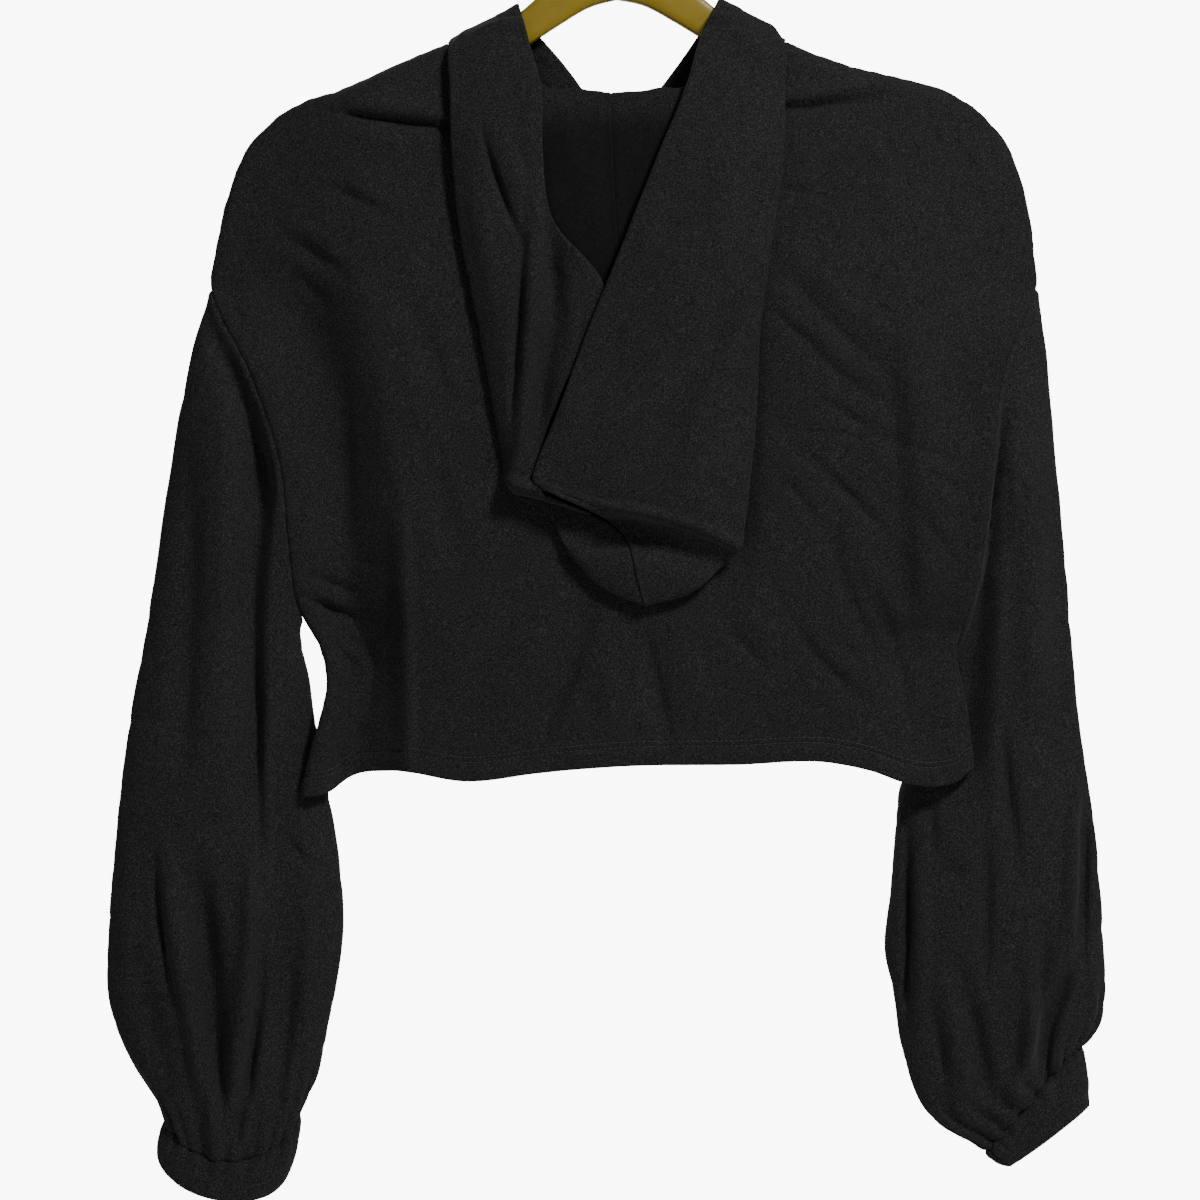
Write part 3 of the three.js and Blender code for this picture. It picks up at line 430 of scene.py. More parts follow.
HOOD_RIGHT = [
    (1, 1, 0, 2, 14, 160, 3, 14, 156, 4, 14, 151),
    (48, 1, 0, 42, 13, 131, 37, 13, 124, 31, 13, 119),
    (84, 1, 0, 74, 11, 107, 63, 11, 101, 49, 10, 94),
    (96, 1, 0, 87, 8, 95, 74, 8.5, 88, 58, 8.5, 80),
    (100, 0, 0, 91, 0, 88, 78, 0, 81, 62, 0, 72),
    (96, -1, 3, 99, -14, 101, 80, -16, 94, 57, -10, 83),
    (88, -1, 6, 99, -19, 126, 77, -21, 115, 51, -16, 96),
    (70, -1, 10, 98, -25, 165, 73, -28, 149, 43, -25, 124),
    (52, -1, 12, 91, -29, 218, 63, -35, 197, 26, -31, 166),
    (36, -1, 12, 84, -32, 270, 50, -39, 248, 4, -35, 222),
    (24, -1, 13, 81, -34, 320, 38, -42, 302, -18, -38, 277),
    (16, -1, 13, 76, -35, 366, 26, -44, 348, -36, -40, 326),
    (11, -1, 13, 72, -36, 394, 16, -44, 374, -47, -40.5, 353),
    (8, -1, 13, 71, -35, 402, 14, -42, 383, -49, -39.8, 361),
    (5, -1, 13, 64, -33.5, 408, 13, -38.5, 386, -48, -38, 363),
    (0, -1, 13, 42, -31, 427, 13, -36.5, 391, -46, -36.5, 364.5),
    (-4.4, -1, 13, 16.5, -30, 434, 5.6, -35.5, 395, -43.4, -36, 366),
]

# Hanger arms from the middle outward: distance from the middle, drop
ARM_TOP = [
    (0, 48), (20, 51), (40, 63), (60, 79.5), (80, 93), (100, 105), (150, 124), (195, 140), (211, 151),
]
ARM_BOTTOM = [
    (0, 72), (16, 76), (34, 86), (50, 96), (60, 102), (100, 125), (150, 145), (195, 159), (211, 158),
]

# Middle line of the hook's stem, from inside the arms to its bend: x, y, z
HOOK_STEM = [(0, 0, -60), (0, 0, -53), (0, 0, -48), (3.2, 0, -43.6), (8, 0, -39.5)]

# Distances from an edge at which a grid has its first lines, for seams, hems, necks and shoulders
EDGE_STEPS = (0, 0.5, 1.1, 1.8, 2.7, 4, 5.8, 8)
NECK_STEPS = (0, 0.6, 1.4, 2.6, 4.4)
TOP_STEPS = (0, 0.4, 1, 1.9, 3.1, 4.7, 6.7, 9.2, 12.4)
HEM_STEPS = tuple(np.arange(0, 19, 0.9))


def ease(value):
    """0 up to 0 and 1 from 1 on, with a smooth step between."""
    share = np.clip(value, 0, 1)
    return share * share * (3 - 2 * share)


def between(value, start, end):
    """0 at start and before it and 1 at end and beyond it, with a smooth step between."""
    return ease((value - start) / (end - start))


def mix(start, end, share):
    return start + (end - start) * share


def bell(distance, width):
    """1 where the distance is 0, falling away on both sides."""
    return np.exp(-((distance / width) ** 2))


def unit(vectors):
    """The vectors along the last axis, at length 1."""
    return vectors / np.maximum(np.linalg.norm(vectors, axis=-1, keepdims=True), 1e-9)


def full_turn(count):
    """Angles of points around a circle."""
    return np.arange(count) / count * 2 * math.pi


def turned(distance, radius):
    """0 at an edge, rising along a quarter circle to 1."""
    return np.sqrt(1 - (1 - np.clip(distance / radius, 0, 1)) ** 2)


def hermite(start, end, slope_start, slope_end, share):
    square = share * share
    cube = square * share
    return (
        (2 * cube - 3 * square + 1) * start
        + (cube - 2 * square + share) * slope_start
        + (3 * square - 2 * cube) * end
        + (cube - square) * slope_end
    )


def knot_slopes(values, spans):
    """Slopes at the knots of a smooth line. spans are the lengths between the knots."""
    steps = np.diff(values, axis=0) / spans
    inner = (steps[:-1] * spans[1:] + steps[1:] * spans[:-1]) / (spans[:-1] + spans[1:])
    return np.concatenate([steps[:1], inner, steps[-1:]])


def line_through(rows):
    """A smooth line through rows of two columns, read at any key."""
    keys, values = np.array(rows, float).T
    spans = np.diff(keys)
    slopes = knot_slopes(values, spans)

    def read(wanted):
        key = np.clip(wanted, keys[0], keys[-1])
        i = np.clip(np.searchsorted(keys, key, side="left") - 1, 0, len(keys) - 2)
        share = (key - keys[i]) / spans[i]
        return hermite(values[i], values[i + 1], slopes[i] * spans[i], slopes[i + 1] * spans[i], share)

    return read


def path_through(points, places):
    """Smooth paths through points of any shape along the first axis, read at places counted in points."""
    points = np.array(points, float)
    spans = np.linalg.norm(np.diff(points, axis=0), axis=-1, keepdims=True) + 1e-6
    slopes = knot_slopes(points, spans)
    i = np.clip(places.astype(int), 0, len(points) - 2)
    share = (places - i).reshape((-1,) + (1,) * (points.ndim - 1))
    return hermite(points[i], points[i + 1], slopes[i] * spans[i], slopes[i + 1] * spans[i], share)


def read_line(points, lengths, spots):
    """Points of a line at given spots, where lengths says how far along each of its points lies."""
    return np.stack([np.interp(spots, lengths, points[:, k]) for k in range(3)], axis=-1)


def crease_height(creases, x, drop):
    """Height of the creases at places on the cloth."""
    height = np.zeros(np.broadcast(x, drop).shape)
    for x0, drop0, x1, drop1, half_width, peak, bow, skew in creases:
        along_x, along_drop = x1 - x0, drop1 - drop0
        length = math.hypot(along_x, along_drop)
        along = ((x - x0) * along_x + (drop - drop0) * along_drop) / length**2
        across = ((x - x0) * along_drop - (drop - drop0) * along_x) / length
        across = across - bow * 4 * np.clip(along, 0, 1) * (1 - np.clip(along, 0, 1))
        width = CREASE_SPREAD * half_width * (1 - CREASE_SKEW * skew * np.sign(across))
        fade = min(CREASE_FADE_SHARE * length, CREASE_FADE)
        ends = ease(along * length / fade) * ease((1 - along) * length / fade)
        height += peak * ends * ease(1 - np.abs(across) / width)
    return height


def wrinkles(x, drop, seed):
    """Thin broken creases that cross each other, as worn jersey keeps them."""
    chance = np.random.default_rng(seed)
    height = np.zeros(np.broadcast(x, drop).shape)
    for period in WRINKLE_PERIODS:
        turn = chance.uniform(0.15, 1.45) * chance.choice([-1, 1])
        place = x * math.cos(turn) + drop * math.sin(turn)
        beside = drop * math.cos(turn) - x * math.sin(turn)
        drift = 9 * np.sin(beside / 23 + chance.uniform(0, 6)) + 5 * np.sin(place / 17 + beside / 31)
        thin = 1 - np.abs(np.sin(math.pi * (place + drift) / period))
        patch = np.sin(beside / chance.uniform(19, 27) + place / 37 + chance.uniform(0, 6))
        height -= thin**4 * ease(patch * 1.3 - 0.2)
    return height * WRINKLE_HEIGHT


def ripples(x, drop, seed, slow_height, quick_height):
    """Slow and quick unevenness of hanging cloth, the same each time for one seed."""
    chance = np.random.default_rng(seed)
    height = np.zeros(np.broadcast(x, drop).shape)
    for size, slow, quick in RIPPLES:
        for _ in range(4):
            turn = chance.uniform(0, 2 * math.pi)
            phase = chance.uniform(0, 2 * math.pi)
            stretch = size * chance.uniform(0.8, 1.3) / (2 * math.pi)
            wave = np.sin((x * math.cos(turn) + 0.6 * drop * math.sin(turn)) / stretch + phase)
            height += (slow * slow_height + quick * quick_height) * wave / 4
    return height + wrinkles(x, drop, seed + 70)


shoulder_drop = line_through(SHOULDER)
hem_drop = line_through(HEM)
side_left = line_through(SIDE_LEFT)
side_right = line_through(SIDE_RIGHT)
body_depth = line_through(BODY_DEPTH)
neck_back = line_through(NECK_BACK)
neck_front = line_through(NECK_FRONT)
hood_roll_edge = line_through(HOOD_ROLL_EDGE)


def armhole_depth(armhole, drop):
    share = np.clip((drop - armhole[0]) / (armhole[1] - armhole[0]), 0, 1)
    return ARMHOLE_DEPTH * 2 * np.sqrt(share * (1 - share))


def body_middle(x, drop):
    """Y of the body's middle, which leans towards the camera at both lower corners."""
    right = between(x, 120, 205) * between(drop, 445, 505)
    left = between(x, -110, -175) * between(drop, 455, 515)
    return -7 * right - 5.5 * left


def panel_depth(x, drop, creases):
    """Distance of a panel's middle surface from the body's middle."""
    from_left = np.maximum(x - side_left(drop), 0)
    from_right = np.maximum(side_right(drop) - x, 0)
    from_side = np.minimum(from_left, from_right)
    from_top = drop - shoulder_drop(x)
    nearer_left = from_left < from_right
    opened = np.where(nearer_left, armhole_depth(ARMHOLE_LEFT, drop), armhole_depth(ARMHOLE_RIGHT, drop))
    edge = np.hypot(opened, SIDE_DEPTH * turned(from_side, SIDE_TURN))
    rise = np.sin(math.pi / 2 * np.clip(from_side / SIDE_REACH, 0, 1)) ** 2
    full = mix(edge, np.maximum(body_depth(drop), edge), rise)
    creased = PANEL_RELIEF * crease_height(creases, x, drop) * ease(from_side / 20) * ease(from_top / 16)
    return PANEL_GAP + full * turned(from_top, SHOULDER_TURN) + creased


def hood_roll_height(x, drop):
    """The hood's roll stands out above its lower edge, and the cloth below lies deep behind it."""
    below = drop - hood_roll_edge(x)
    right = between(x, *ROLL_ENDS)
    swell = mix(*ROLL_SWELL, right) * ease(1 - np.abs(below + ROLL_CREST) / mix(*ROLL_HALF_WIDTH, right))
    sunk = mix(*ROLL_SINK, right) * between(below, -0.4, 2.2) * between(below, 30, 10)
    return swell - sunk * between(x, 84, 70)


def spread(length, step, start_steps, end_steps):
    """Shares of a length: close together at the ends as given, and a step apart between."""
    first, last = start_steps[-1], length - end_steps[-1]
    count = max(int(round((last - first) / step)), 1)
    middle = np.linspace(first, last, count + 1)[1:-1]
    return np.concatenate([start_steps, middle, length - np.array(end_steps)[::-1]]) / length


def puckers(along, distance, seed):
    """Small waves that the thread draws up beside a seam, fading away from it."""
    chance = np.random.default_rng(seed)
    wave = np.zeros(np.broadcast(along, distance).shape)
    for size in PUCKER_SIZES:
        wave += np.sin(along * 2 * math.pi / size / chance.uniform(0.85, 1.15) + chance.uniform(0, 6))
    return PUCKER_HEIGHT * wave * np.exp(-np.abs(distance) / PUCKER_FADE)


def seam_form(along, distance, seed):
    """Height of the cloth beside a sewn seam: a groove, a soft swell and puckers."""
    depth, width = SEAM_GROOVE
    height, place, reach = SEAM_SWELL
    sewn = height * bell(distance - place, reach) - depth * bell(distance, width)
    return sewn + puckers(along, distance, seed) * ease(distance / 2)


def stitch_distances(settings):
    """Distances of the two stitched lines from a hem's edge."""
    return settings.hem_stitch * MM, (settings.hem_stitch + settings.stitch_rows_gap) * MM


def hem_form(along, distance, settings, seed):
    """Height of a turned hem: two rows of stitches sink into it, and it stands out between and below them."""
    near, far = stitch_distances(settings)
    depth, width = STITCH_GROOVE
    sunk = -depth * (bell(distance - near, width) + bell(distance - far, width))
    swell = HEM_SWELL * bell(distance - 0.5 * near, 0.33 * near)
    step = HEM_STEP * (1 - ease((distance - far - 1) / 1.6))
    return sunk + swell + step + 0.8 * puckers(along, distance - far, seed) * between(distance, 14, 4)


def hem_half(distance, settings):
    """Half thickness of the cloth, doubled where it is turned up."""
    turn = stitch_distances(settings)[1] + 1.5
    return settings.cloth_wall * MM / 2 * (1 + HEM_DOUBLING * ease((turn - distance) / 1.5))


def grid_normals(grid, closed=False):
    """Unit normals of a grid of points, whose columns may close to a tube."""
    if closed:
        padded = np.concatenate([grid[:, -1:], grid, grid[:, :1]], axis=1)
        across = padded[:, 2:] - padded[:, :-2]
    else:
        across = np.gradient(grid, axis=1)
    return unit(np.cross(np.gradient(grid, axis=0), across))


def raised(grid, lift, outside, closed=False):
    """A grid lifted along its normals, and the sign that turns these to the side that outside points to."""
    normals = grid_normals(grid, closed)
    outward = np.sign((normals[..., 1] * outside).mean())
    return grid + normals * outward * lift[..., None], outward


def side_seam_normals(grid, middle):
    """Normals that are square to Y where a panel's edge lies on the body's middle plane."""
    normals = grid_normals(grid)
    for part in (np.s_[0, :], np.s_[-1, :], np.s_[:, 0]):
        on_plane = np.abs(grid[part][:, 1] - middle[part]) < 1.2
        normals[part][on_plane, 1] = 0
    return unit(normals)


def arc_lengths(grid, axis):
    """Distance along a grid's lines from their first point."""
    steps = np.linalg.norm(np.diff(grid, axis=axis), axis=-1)
    start = np.zeros_like(np.take(steps, [0], axis=axis))
    return np.concatenate([start, np.cumsum(steps, axis=axis)], axis=axis)


def around_lengths(grid):
    """Distance around a tube's rings from their first point."""
    return arc_lengths(np.concatenate([grid, grid[:, :1]], axis=1), 1)[:, :-1]


def extended(values, first=(0, 0), last=(0, 0)):
    """Repeats the end lines of a grid's first axis twice at each end, moved by first and last."""
    before = [values[:1] + first[1], values[:1] + first[0]]
    after = [values[-1:] + last[0], values[-1:] + last[1]]
    return np.concatenate([*before, values, *after])


def rounded_rim(grid, normals, half, *others):
    """Adds lines beyond both ends of a grid's first axis, so that the wall's rim is round."""
    start = unit(grid[:1] - grid[1:2]) * half[:1, :, None]
    end = unit(grid[-1:] - grid[-2:-1]) * half[-1:, :, None]
    rim = extended(grid, (0.7 * start, start), (0.7 * end, end))
    rim_half = np.concatenate([0 * half[:1], 0.7 * half[:1], half, 0.7 * half[-1:], 0 * half[-1:]])
    return rim, extended(normals), rim_half, *(extended(values) for values in others)


def swapped(grids):
    return [np.swapaxes(values, 0, 1) for values in grids]


def quads(near, far):
    """Corners of the faces between two neighbouring sets of lines."""
    return np.stack([near[:-1], near[1:], far[1:], far[:-1]], axis=2)


def turned_over(corners):
    return np.roll(corners[:, :, ::-1], 1, axis=2)


def tube_faces(index):
    """Faces of an open tube, from the numbers of its points in a row for each ring."""
    return quads(index, np.roll(index, -1, axis=1)).reshape(-1, 4)


def cap_faces(ring):
    """Faces across a ring with an even count of points, from their numbers."""
    return np.array([[ring[k], ring[k + 1], ring[-2 - k], ring[-1 - k]] for k in range(len(ring) // 2 - 1)])


def closed_tube_faces(index):
    return np.concatenate([tube_faces(index), cap_faces(index[0])[:, ::-1], cap_faces(index[-1])])


def wall_mesh(name, grid, half, weave, closed=False, normals=None, painted_shade=None):
    """A closed cloth wall around a grid of points in millimetres, with its cloth coordinates in metres.

    Where it is given, a factor below 1 at a point of the grid darkens the cloth's colour there as painted
    shade; it is 1 elsewhere.
    """
    painted_shade = np.ones(grid.shape[:2]) if painted_shade is None else painted_shade
    normals = grid_normals(grid, closed) if normals is None else normals
    parts = rounded_rim(grid, normals, half, weave, painted_shade)
    if not closed:
        parts = swapped(rounded_rim(*swapped(parts)))
    grid, normals, half, weave, painted_shade = parts
    rows, columns = half.shape
    outer = np.arange(rows * columns).reshape(rows, columns)
    inner = np.where(half > 0, outer + rows * columns, outer)
    reach = normals * half[..., None]
    points = np.concatenate([(grid + reach).reshape(-1, 3), (grid - reach).reshape(-1, 3)]) / MM
    outer_next, inner_next, weave_next = (np.roll(values, -1, axis=1) for values in (outer, inner, weave))
    if closed:
        weave_next[:, -1, 0] += weave[:, 1, 0] - weave[:, 0, 0] + weave[:, -1, 0] - weave[:, 0, 0]
    else:
        outer, outer_next, inner, inner_next, weave, weave_next = (
            values[:, :-1] for values in (outer, outer_next, inner, inner_next, weave, weave_next))
    faces = np.concatenate([quads(outer, outer_next), turned_over(quads(inner, inner_next))])
    corners = np.concatenate([quads(weave, weave_next), turned_over(quads(weave, weave_next))])
    return finished_mesh(name, points, faces.reshape(-1, 4), corners, np.tile(painted_shade.ravel(), 2))


def finished_mesh(name, points, faces, corners=None, painted_shade=None):
    """A smooth object from points in metres and four-cornered faces."""
    used, faces = np.unique(faces, return_inverse=True)
    faces = faces.reshape(-1, 4)
    mesh = bpy.data.meshes.new(name)
    mesh.from_pydata(points[used].tolist(), [], faces.tolist())
    if corners is not None:
        layer = mesh.uv_layers.new(name="cloth")
        layer.data.foreach_set("uv", corners.astype(np.float32).ravel())
    # The painted shade is kept as a colour attribute, which the cloth material multiplies into its colour
    if painted_shade is not None:
        painted_shade_layer = mesh.color_attributes.new(name="painted_shade", type="FLOAT_COLOR", domain="POINT")
        painted_shade_layer.data.foreach_set("color", np.repeat(painted_shade[used], 4).astype(np.float32))
    mesh.update()
    mesh.shade_smooth()
    piece = bpy.data.objects.new(name, mesh)
    bpy.context.scene.collection.objects.link(piece)
    return piece


def panel_grid(side):
    """Middle surface of the back (-1) or front (1) panel, its columns' x and its distances from the hem."""
    creases = BACK_CREASES if side < 0 else FRONT_CREASES
    neck = neck_back if side < 0 else neck_front
    (left, left_top), (right, right_top) = SHOULDER[0], SHOULDER[-1]
    (hem_left, left_end), (hem_right, right_end) = HEM[0], HEM[-1]
    columns = np.concatenate([
        mix(left, NECK_LEFT, spread(NECK_LEFT - left, PANEL_STEP, EDGE_STEPS, NECK_STEPS)),
        mix(NECK_LEFT, NECK_RIGHT, spread(NECK_RIGHT - NECK_LEFT, PANEL_STEP, NECK_STEPS, NECK_STEPS))[1:-1],
        mix(NECK_RIGHT, right, spread(right - NECK_RIGHT, PANEL_STEP, NECK_STEPS, EDGE_STEPS)),
    ])
    across = ((columns - left) / (right - left))[:, None]
    top = np.where(on_neck(columns), neck(columns), shoulder_drop(columns))[:, None]
    down = spread(PANEL_HEIGHT, PANEL_STEP, TOP_STEPS, HEM_STEPS)[None, :]
    x = mix(side_left(mix(left_top, left_end, down)), side_right(mix(right_top, right_end, down)), across)
    hem = hem_drop(mix(hem_left, hem_right, across))
    drop = mix(top, hem, down)
    grid = np.stack([x, body_middle(x, drop) + side * panel_depth(x, drop, creases), -drop], axis=-1)
    return grid, columns, hem - drop


def on_neck(columns):
    return (columns >= NECK_LEFT) & (columns <= NECK_RIGHT)


def neck_edge(side):
    """Points of a panel's neck edge."""
    grid, columns, _ = panel_grid(side)
    return grid[on_neck(columns), 0]


def panel_piece(side, settings):
    """The back (-1) or front (1) panel with its hem, seams and unevenness, and its outer surface."""
    name = "cloth_panel_back" if side < 0 else "cloth_panel_front"
    seed = SEEDS[name]
    grid, columns, from_hem = panel_grid(side)
    around, from_top = arc_lengths(grid, 0), arc_lengths(grid, 1)
    from_side = np.minimum(around, around[-1:] - around)
    lift = ripples(grid[..., 0], -grid[..., 2], seed, settings.slow_ripple * MM, settings.quick_ripple * MM)
    lift *= ease(from_side / 14) * ease(from_top / 10)
    lift += seam_form(from_top, from_side, seed + 20) * ease(from_top / 6)
    lift += seam_form(around, from_top, seed + 30)
    lift += hem_form(around, from_hem, settings, seed + 40)
    grid, outward = raised(grid, lift, side)
    normals = side_seam_normals(grid, body_middle(grid[..., 0], -grid[..., 2]))
    half = hem_half(from_hem, settings)
    weave = np.stack([np.broadcast_to(columns[:, None], half.shape), from_top], axis=-1) / MM
    return wall_mesh(name, grid, half, weave, normals=normals), grid + normals * half[..., None] * outward


def hood_stations(row, edges):
    """Points of one line of the hood's cloth, from the neck seam over the outer fold to the face edge."""
    neck_x, side, rise = row[:3]
    fold, band, face = (np.array([row[i], row[i + 1], -row[i + 2]], float) for i in (3, 6, 9))
    if side == 0:
        neck = np.array([neck_x, 0, 1 - shoulder_drop(neck_x)])
    else:
        neck = read_line(edges[side], edges[side][:, 0], neck_x)
        neck[2] += 1
    turning = rise / HOOD_RISE
    roll = mix(neck, fold, 0.02 + 0.2 * (1 - turning))
    over = mix(neck, fold, 0.06 + 0.4 * (1 - turning))
    rolled_y = neck[1] - HOOD_ROLL * turning + (roll[1] - neck[1]) * (1 - turning)
    rolled = np.array([roll[0], rolled_y, roll[2] + rise])
    hung = np.array([over[0], mix(over[1], neck[1] - 2 * HOOD_ROLL - 1, turning), over[2]])
    under = mix(fold, hung, FOLD_SHARE)
    under[1] = mix(fold[1], hung[1], 0.5 * turning + FOLD_SHARE * (1 - turning))
    over_fold = mix(fold, band, 2 * FOLD_SHARE)
    over_fold[1] = mix(fold[1], band[1], 0.8)
    return [neck, rolled, hung, under, fold, over_fold, band, face]


def hood_grid(table, creases, edges):
    """Middle surface of a half hood before its small forms, its painted shade and a way across its folds.

    step counts the stations of a line: 4 is the outer fold, below it lies the layer on the back, and the
    band goes on to the face edge at 7.
    """
    stations = np.array([hood_stations(row, edges) for row in table])
    last_row, last_station = len(table) - 1, stations.shape[1] - 1
    rows = spread(last_row * HOOD_ROW, HOOD_ROW_STEP, EDGE_STEPS, EDGE_STEPS) * last_row
    width = last_station * HOOD_STATION
    steps = spread(width, HOOD_STATION_STEP, EDGE_STEPS[:6], HEM_STEPS[:16]) * last_station
    grid = np.swapaxes(path_through(np.swapaxes(path_through(stations, rows), 0, 1), steps), 0, 1)
    step = np.broadcast_to(steps[None, :], grid.shape[:2])
    x, y, drop = grid[..., 0], grid[..., 1].copy(), -grid[..., 2]
    on_band = between(step, 4.5, 5.5) * between(y, -6, -14)
    on_inside = between(step, 3.4, 3) * between(step, 1.2, 1.7) * between(y, -10, -16)
    over_panel = between(y, -7, -10) * between(step, 0.4, 1)
    room = HOOD_LIFT * (1 + 0.8 * between(step, 3.5, 4))
    least = (panel_depth(x, drop, BACK_CREASES) + room) * over_panel
    shown = y - crease_height(creases, x, drop) * on_band
    shown -= hood_roll_height(x, drop) * between(step, 3.2, 3.8)
    shown -= crease_height(HOOD_INSIDE_CREASES, x, drop) * on_inside
    grid[..., 1] = np.where(over_panel > 0, np.minimum(shown, -least), shown)
    # Painted shade: the layer under the outer fold, inside the hood, is darkened a little all over, and much
    # more lower down on its side towards the camera
    shade_mask_under_fold = between(step, 3.9, 3.5)
    painted_shade = 1 - 0.6 * shade_mask_under_fold * between(drop, 134, 156) * between(y, -6, -12) - 0.2 * shade_mask_under_fold
    return grid, painted_shade, x + 0.5 * y


def hood_piece(name, table, creases, edges, settings):
    """One half of the hood: the layer on the back, the outer fold and the band up to the face edge."""
    seed = SEEDS[name]
    grid, painted_shade, across_folds = hood_grid(table, creases, edges)
    across, along = arc_lengths(grid, 1), arc_lengths(grid, 0)
    from_middle = along[-1:] - along
    slow, quick = 0.45 * settings.slow_ripple * MM, 0.8 * settings.quick_ripple * MM
    lift = ripples(across_folds, -grid[..., 2], seed, slow, quick)
    lift *= ease(across / 12) * ease(from_middle / 10)
    lift += seam_form(along, across, seed + 1) * 0.8
    lift += seam_form(across, from_middle, seed + 2) * 0.5
    grid = grid + grid_normals(grid) * (0.8 * lift)[..., None]
    normals = grid_normals(grid)
    normals[-1, :, 0] = 0
    normals[-1] = unit(normals[-1])
    half = hem_half(across[:, -1:] - across, settings)
    return wall_mesh(name, grid, half, np.stack([along, across], axis=-1) / MM, normals=normals, painted_shade=painted_shade)


def gathers(angle, from_wrist, seed, count, height, reach):
    """Uneven tucks that run up a sleeve from the seam at its wrist."""
    chance = np.random.default_rng(seed)
    tucks = np.zeros(np.broadcast(angle, from_wrist).shape)
    for i in range(count):
        middle = (i + chance.uniform(-0.25, 0.25)) * 2 * math.pi / count
        width = math.pi / count * chance.uniform(0.75, 1.15)
        length = reach * chance.uniform(0.45, 1.3)
        lean = chance.uniform(-0.12, 0.12)
        peak = height * chance.uniform(0.6, 1.25)
        away = np.abs((angle - middle - lean * from_wrist / reach + math.pi) % (2 * math.pi) - math.pi)
        tucks += peak * ease(1 - away / width) * ease(1 - from_wrist / length)
    return tucks - 0.45 * height * ease(1 - from_wrist / reach)


def armhole_bow(side, share, facing):
    """How far the armhole's edge lies from the straight line between its ends, in x and y."""
    armhole, edge = (ARMHOLE_LEFT, side_left) if side == "left" else (ARMHOLE_RIGHT, side_right)
    drop = mix(*armhole, share)
    bow_x = edge(drop) - mix(edge(armhole[0]), edge(armhole[1]), share)
    depth = armhole_depth(armhole, drop) + PANEL_GAP
    bow_y = body_middle(edge(drop), drop) - np.sign(facing) * depth + facing * ARMHOLE_DEPTH
    return bow_x, bow_y


def tube_sections(table, length, step, sides):
    """A sleeve or cuff: its x, y, drop, angles, shares across, facings, bows and places along it."""
    last = len(table) - 1
    places = spread(length, step, EDGE_STEPS, EDGE_STEPS)
    rows = path_through(table, places * last)
    out_x, out_drop, in_x, in_drop, depth, middle, bow, dip = (rows[:, k:k + 1] for k in range(8))
    angle = full_turn(sides)[None, :]
    share, facing = (1 - np.cos(angle)) / 2, np.sin(angle)
    y = middle * mix(0.4, 1, share) - facing * depth
    drop = mix(out_drop, in_drop, share) + np.maximum(facing, 0) * dip
    return mix(out_x, in_x, share), y, drop, angle, share, facing, bow, places[:, None]


def sleeve_piece(side, settings):
    """A full sleeve from the armhole seam to the gathers at the wrist."""
    name = "cloth_sleeve_" + side
    seed = SEEDS[name]
    table, near, far = SLEEVES[side]
    length = (len(table) - 1) * SLEEVE_ROW
    x, y, drop, angle, share, facing, bow, places = tube_sections(table, length, SLEEVE_STEP, SLEEVE_SIDES)
    crease = np.where(facing > 0, crease_height(near, x, drop), -crease_height(far, x, drop))
    y = y - SLEEVE_RELIEF * crease * np.sqrt(np.abs(facing)) * ease(places / 0.06)
    bow_x, bow_y = armhole_bow(side, share, facing)
    bow = np.maximum(bow, 0)
    x, y = x + SLEEVE_SHIFT[side] + bow * bow_x, y + bow * bow_y
    grid = np.stack([x, y, -drop], axis=-1)
    along, around = arc_lengths(grid, 0), around_lengths(grid)
    from_wrist = along[-1:] - along
    lift = ripples(x + 2 * y, drop, seed, 0.9 * settings.slow_ripple * MM, settings.quick_ripple * MM)
    lift *= ease(along / 16) * ease(from_wrist / 12)
    gather_height = settings.gather_height * MM
    lift += gathers(angle, from_wrist, seed + 1, settings.gathers, gather_height, GATHER_REACH["sleeve"])
    lift += seam_form(around, along, seed + 2) + seam_form(around, from_wrist, seed + 3)
    grid, _ = raised(grid, lift, -facing, closed=True)
    half = np.full(grid.shape[:2], settings.cloth_wall * MM / 2)
    return wall_mesh(name, grid, half, np.stack([around, along], axis=-1) / MM, closed=True)


def cuff_piece(side, settings):
    """A cuff: a doubled band whose seam is drawn up by the sleeve's gathers."""
    name = "cloth_cuff_" + side
    seed = SEEDS[name]
    table, wrist = CUFFS[side]
    x, y, drop, angle, _, facing, _, _ = tube_sections(table, CUFF_HEIGHT, CUFF_STEP, CUFF_SIDES)
    x = x + SLEEVE_SHIFT[side] + wrist[0] * CUFF_GAP
    drop = drop - wrist[2] * CUFF_GAP
    grid = np.stack([x, y, -drop], axis=-1)
    along, around = arc_lengths(grid, 0), around_lengths(grid)
    gather_height = 0.6 * settings.gather_height * MM
    lift = gathers(angle, along, seed - 10, settings.gathers, gather_height, GATHER_REACH["cuff"])
    lift += seam_form(around, along, seed + 3)
    lift += ripples(x + y, drop, seed, 1.1, 0.5) * ease(along / 8)
    lift += 1.8 * np.sin(math.pi * np.clip(along / along[-1:], 0, 1)) ** 0.7
    grid, _ = raised(grid, lift, -facing, closed=True)
    half = settings.cloth_wall * MM / 2 * (1.5 - 0.4 * ease((2 - along) / 2))
    return wall_mesh(name, grid, half, np.stack([around, along], axis=-1) / MM, closed=True)


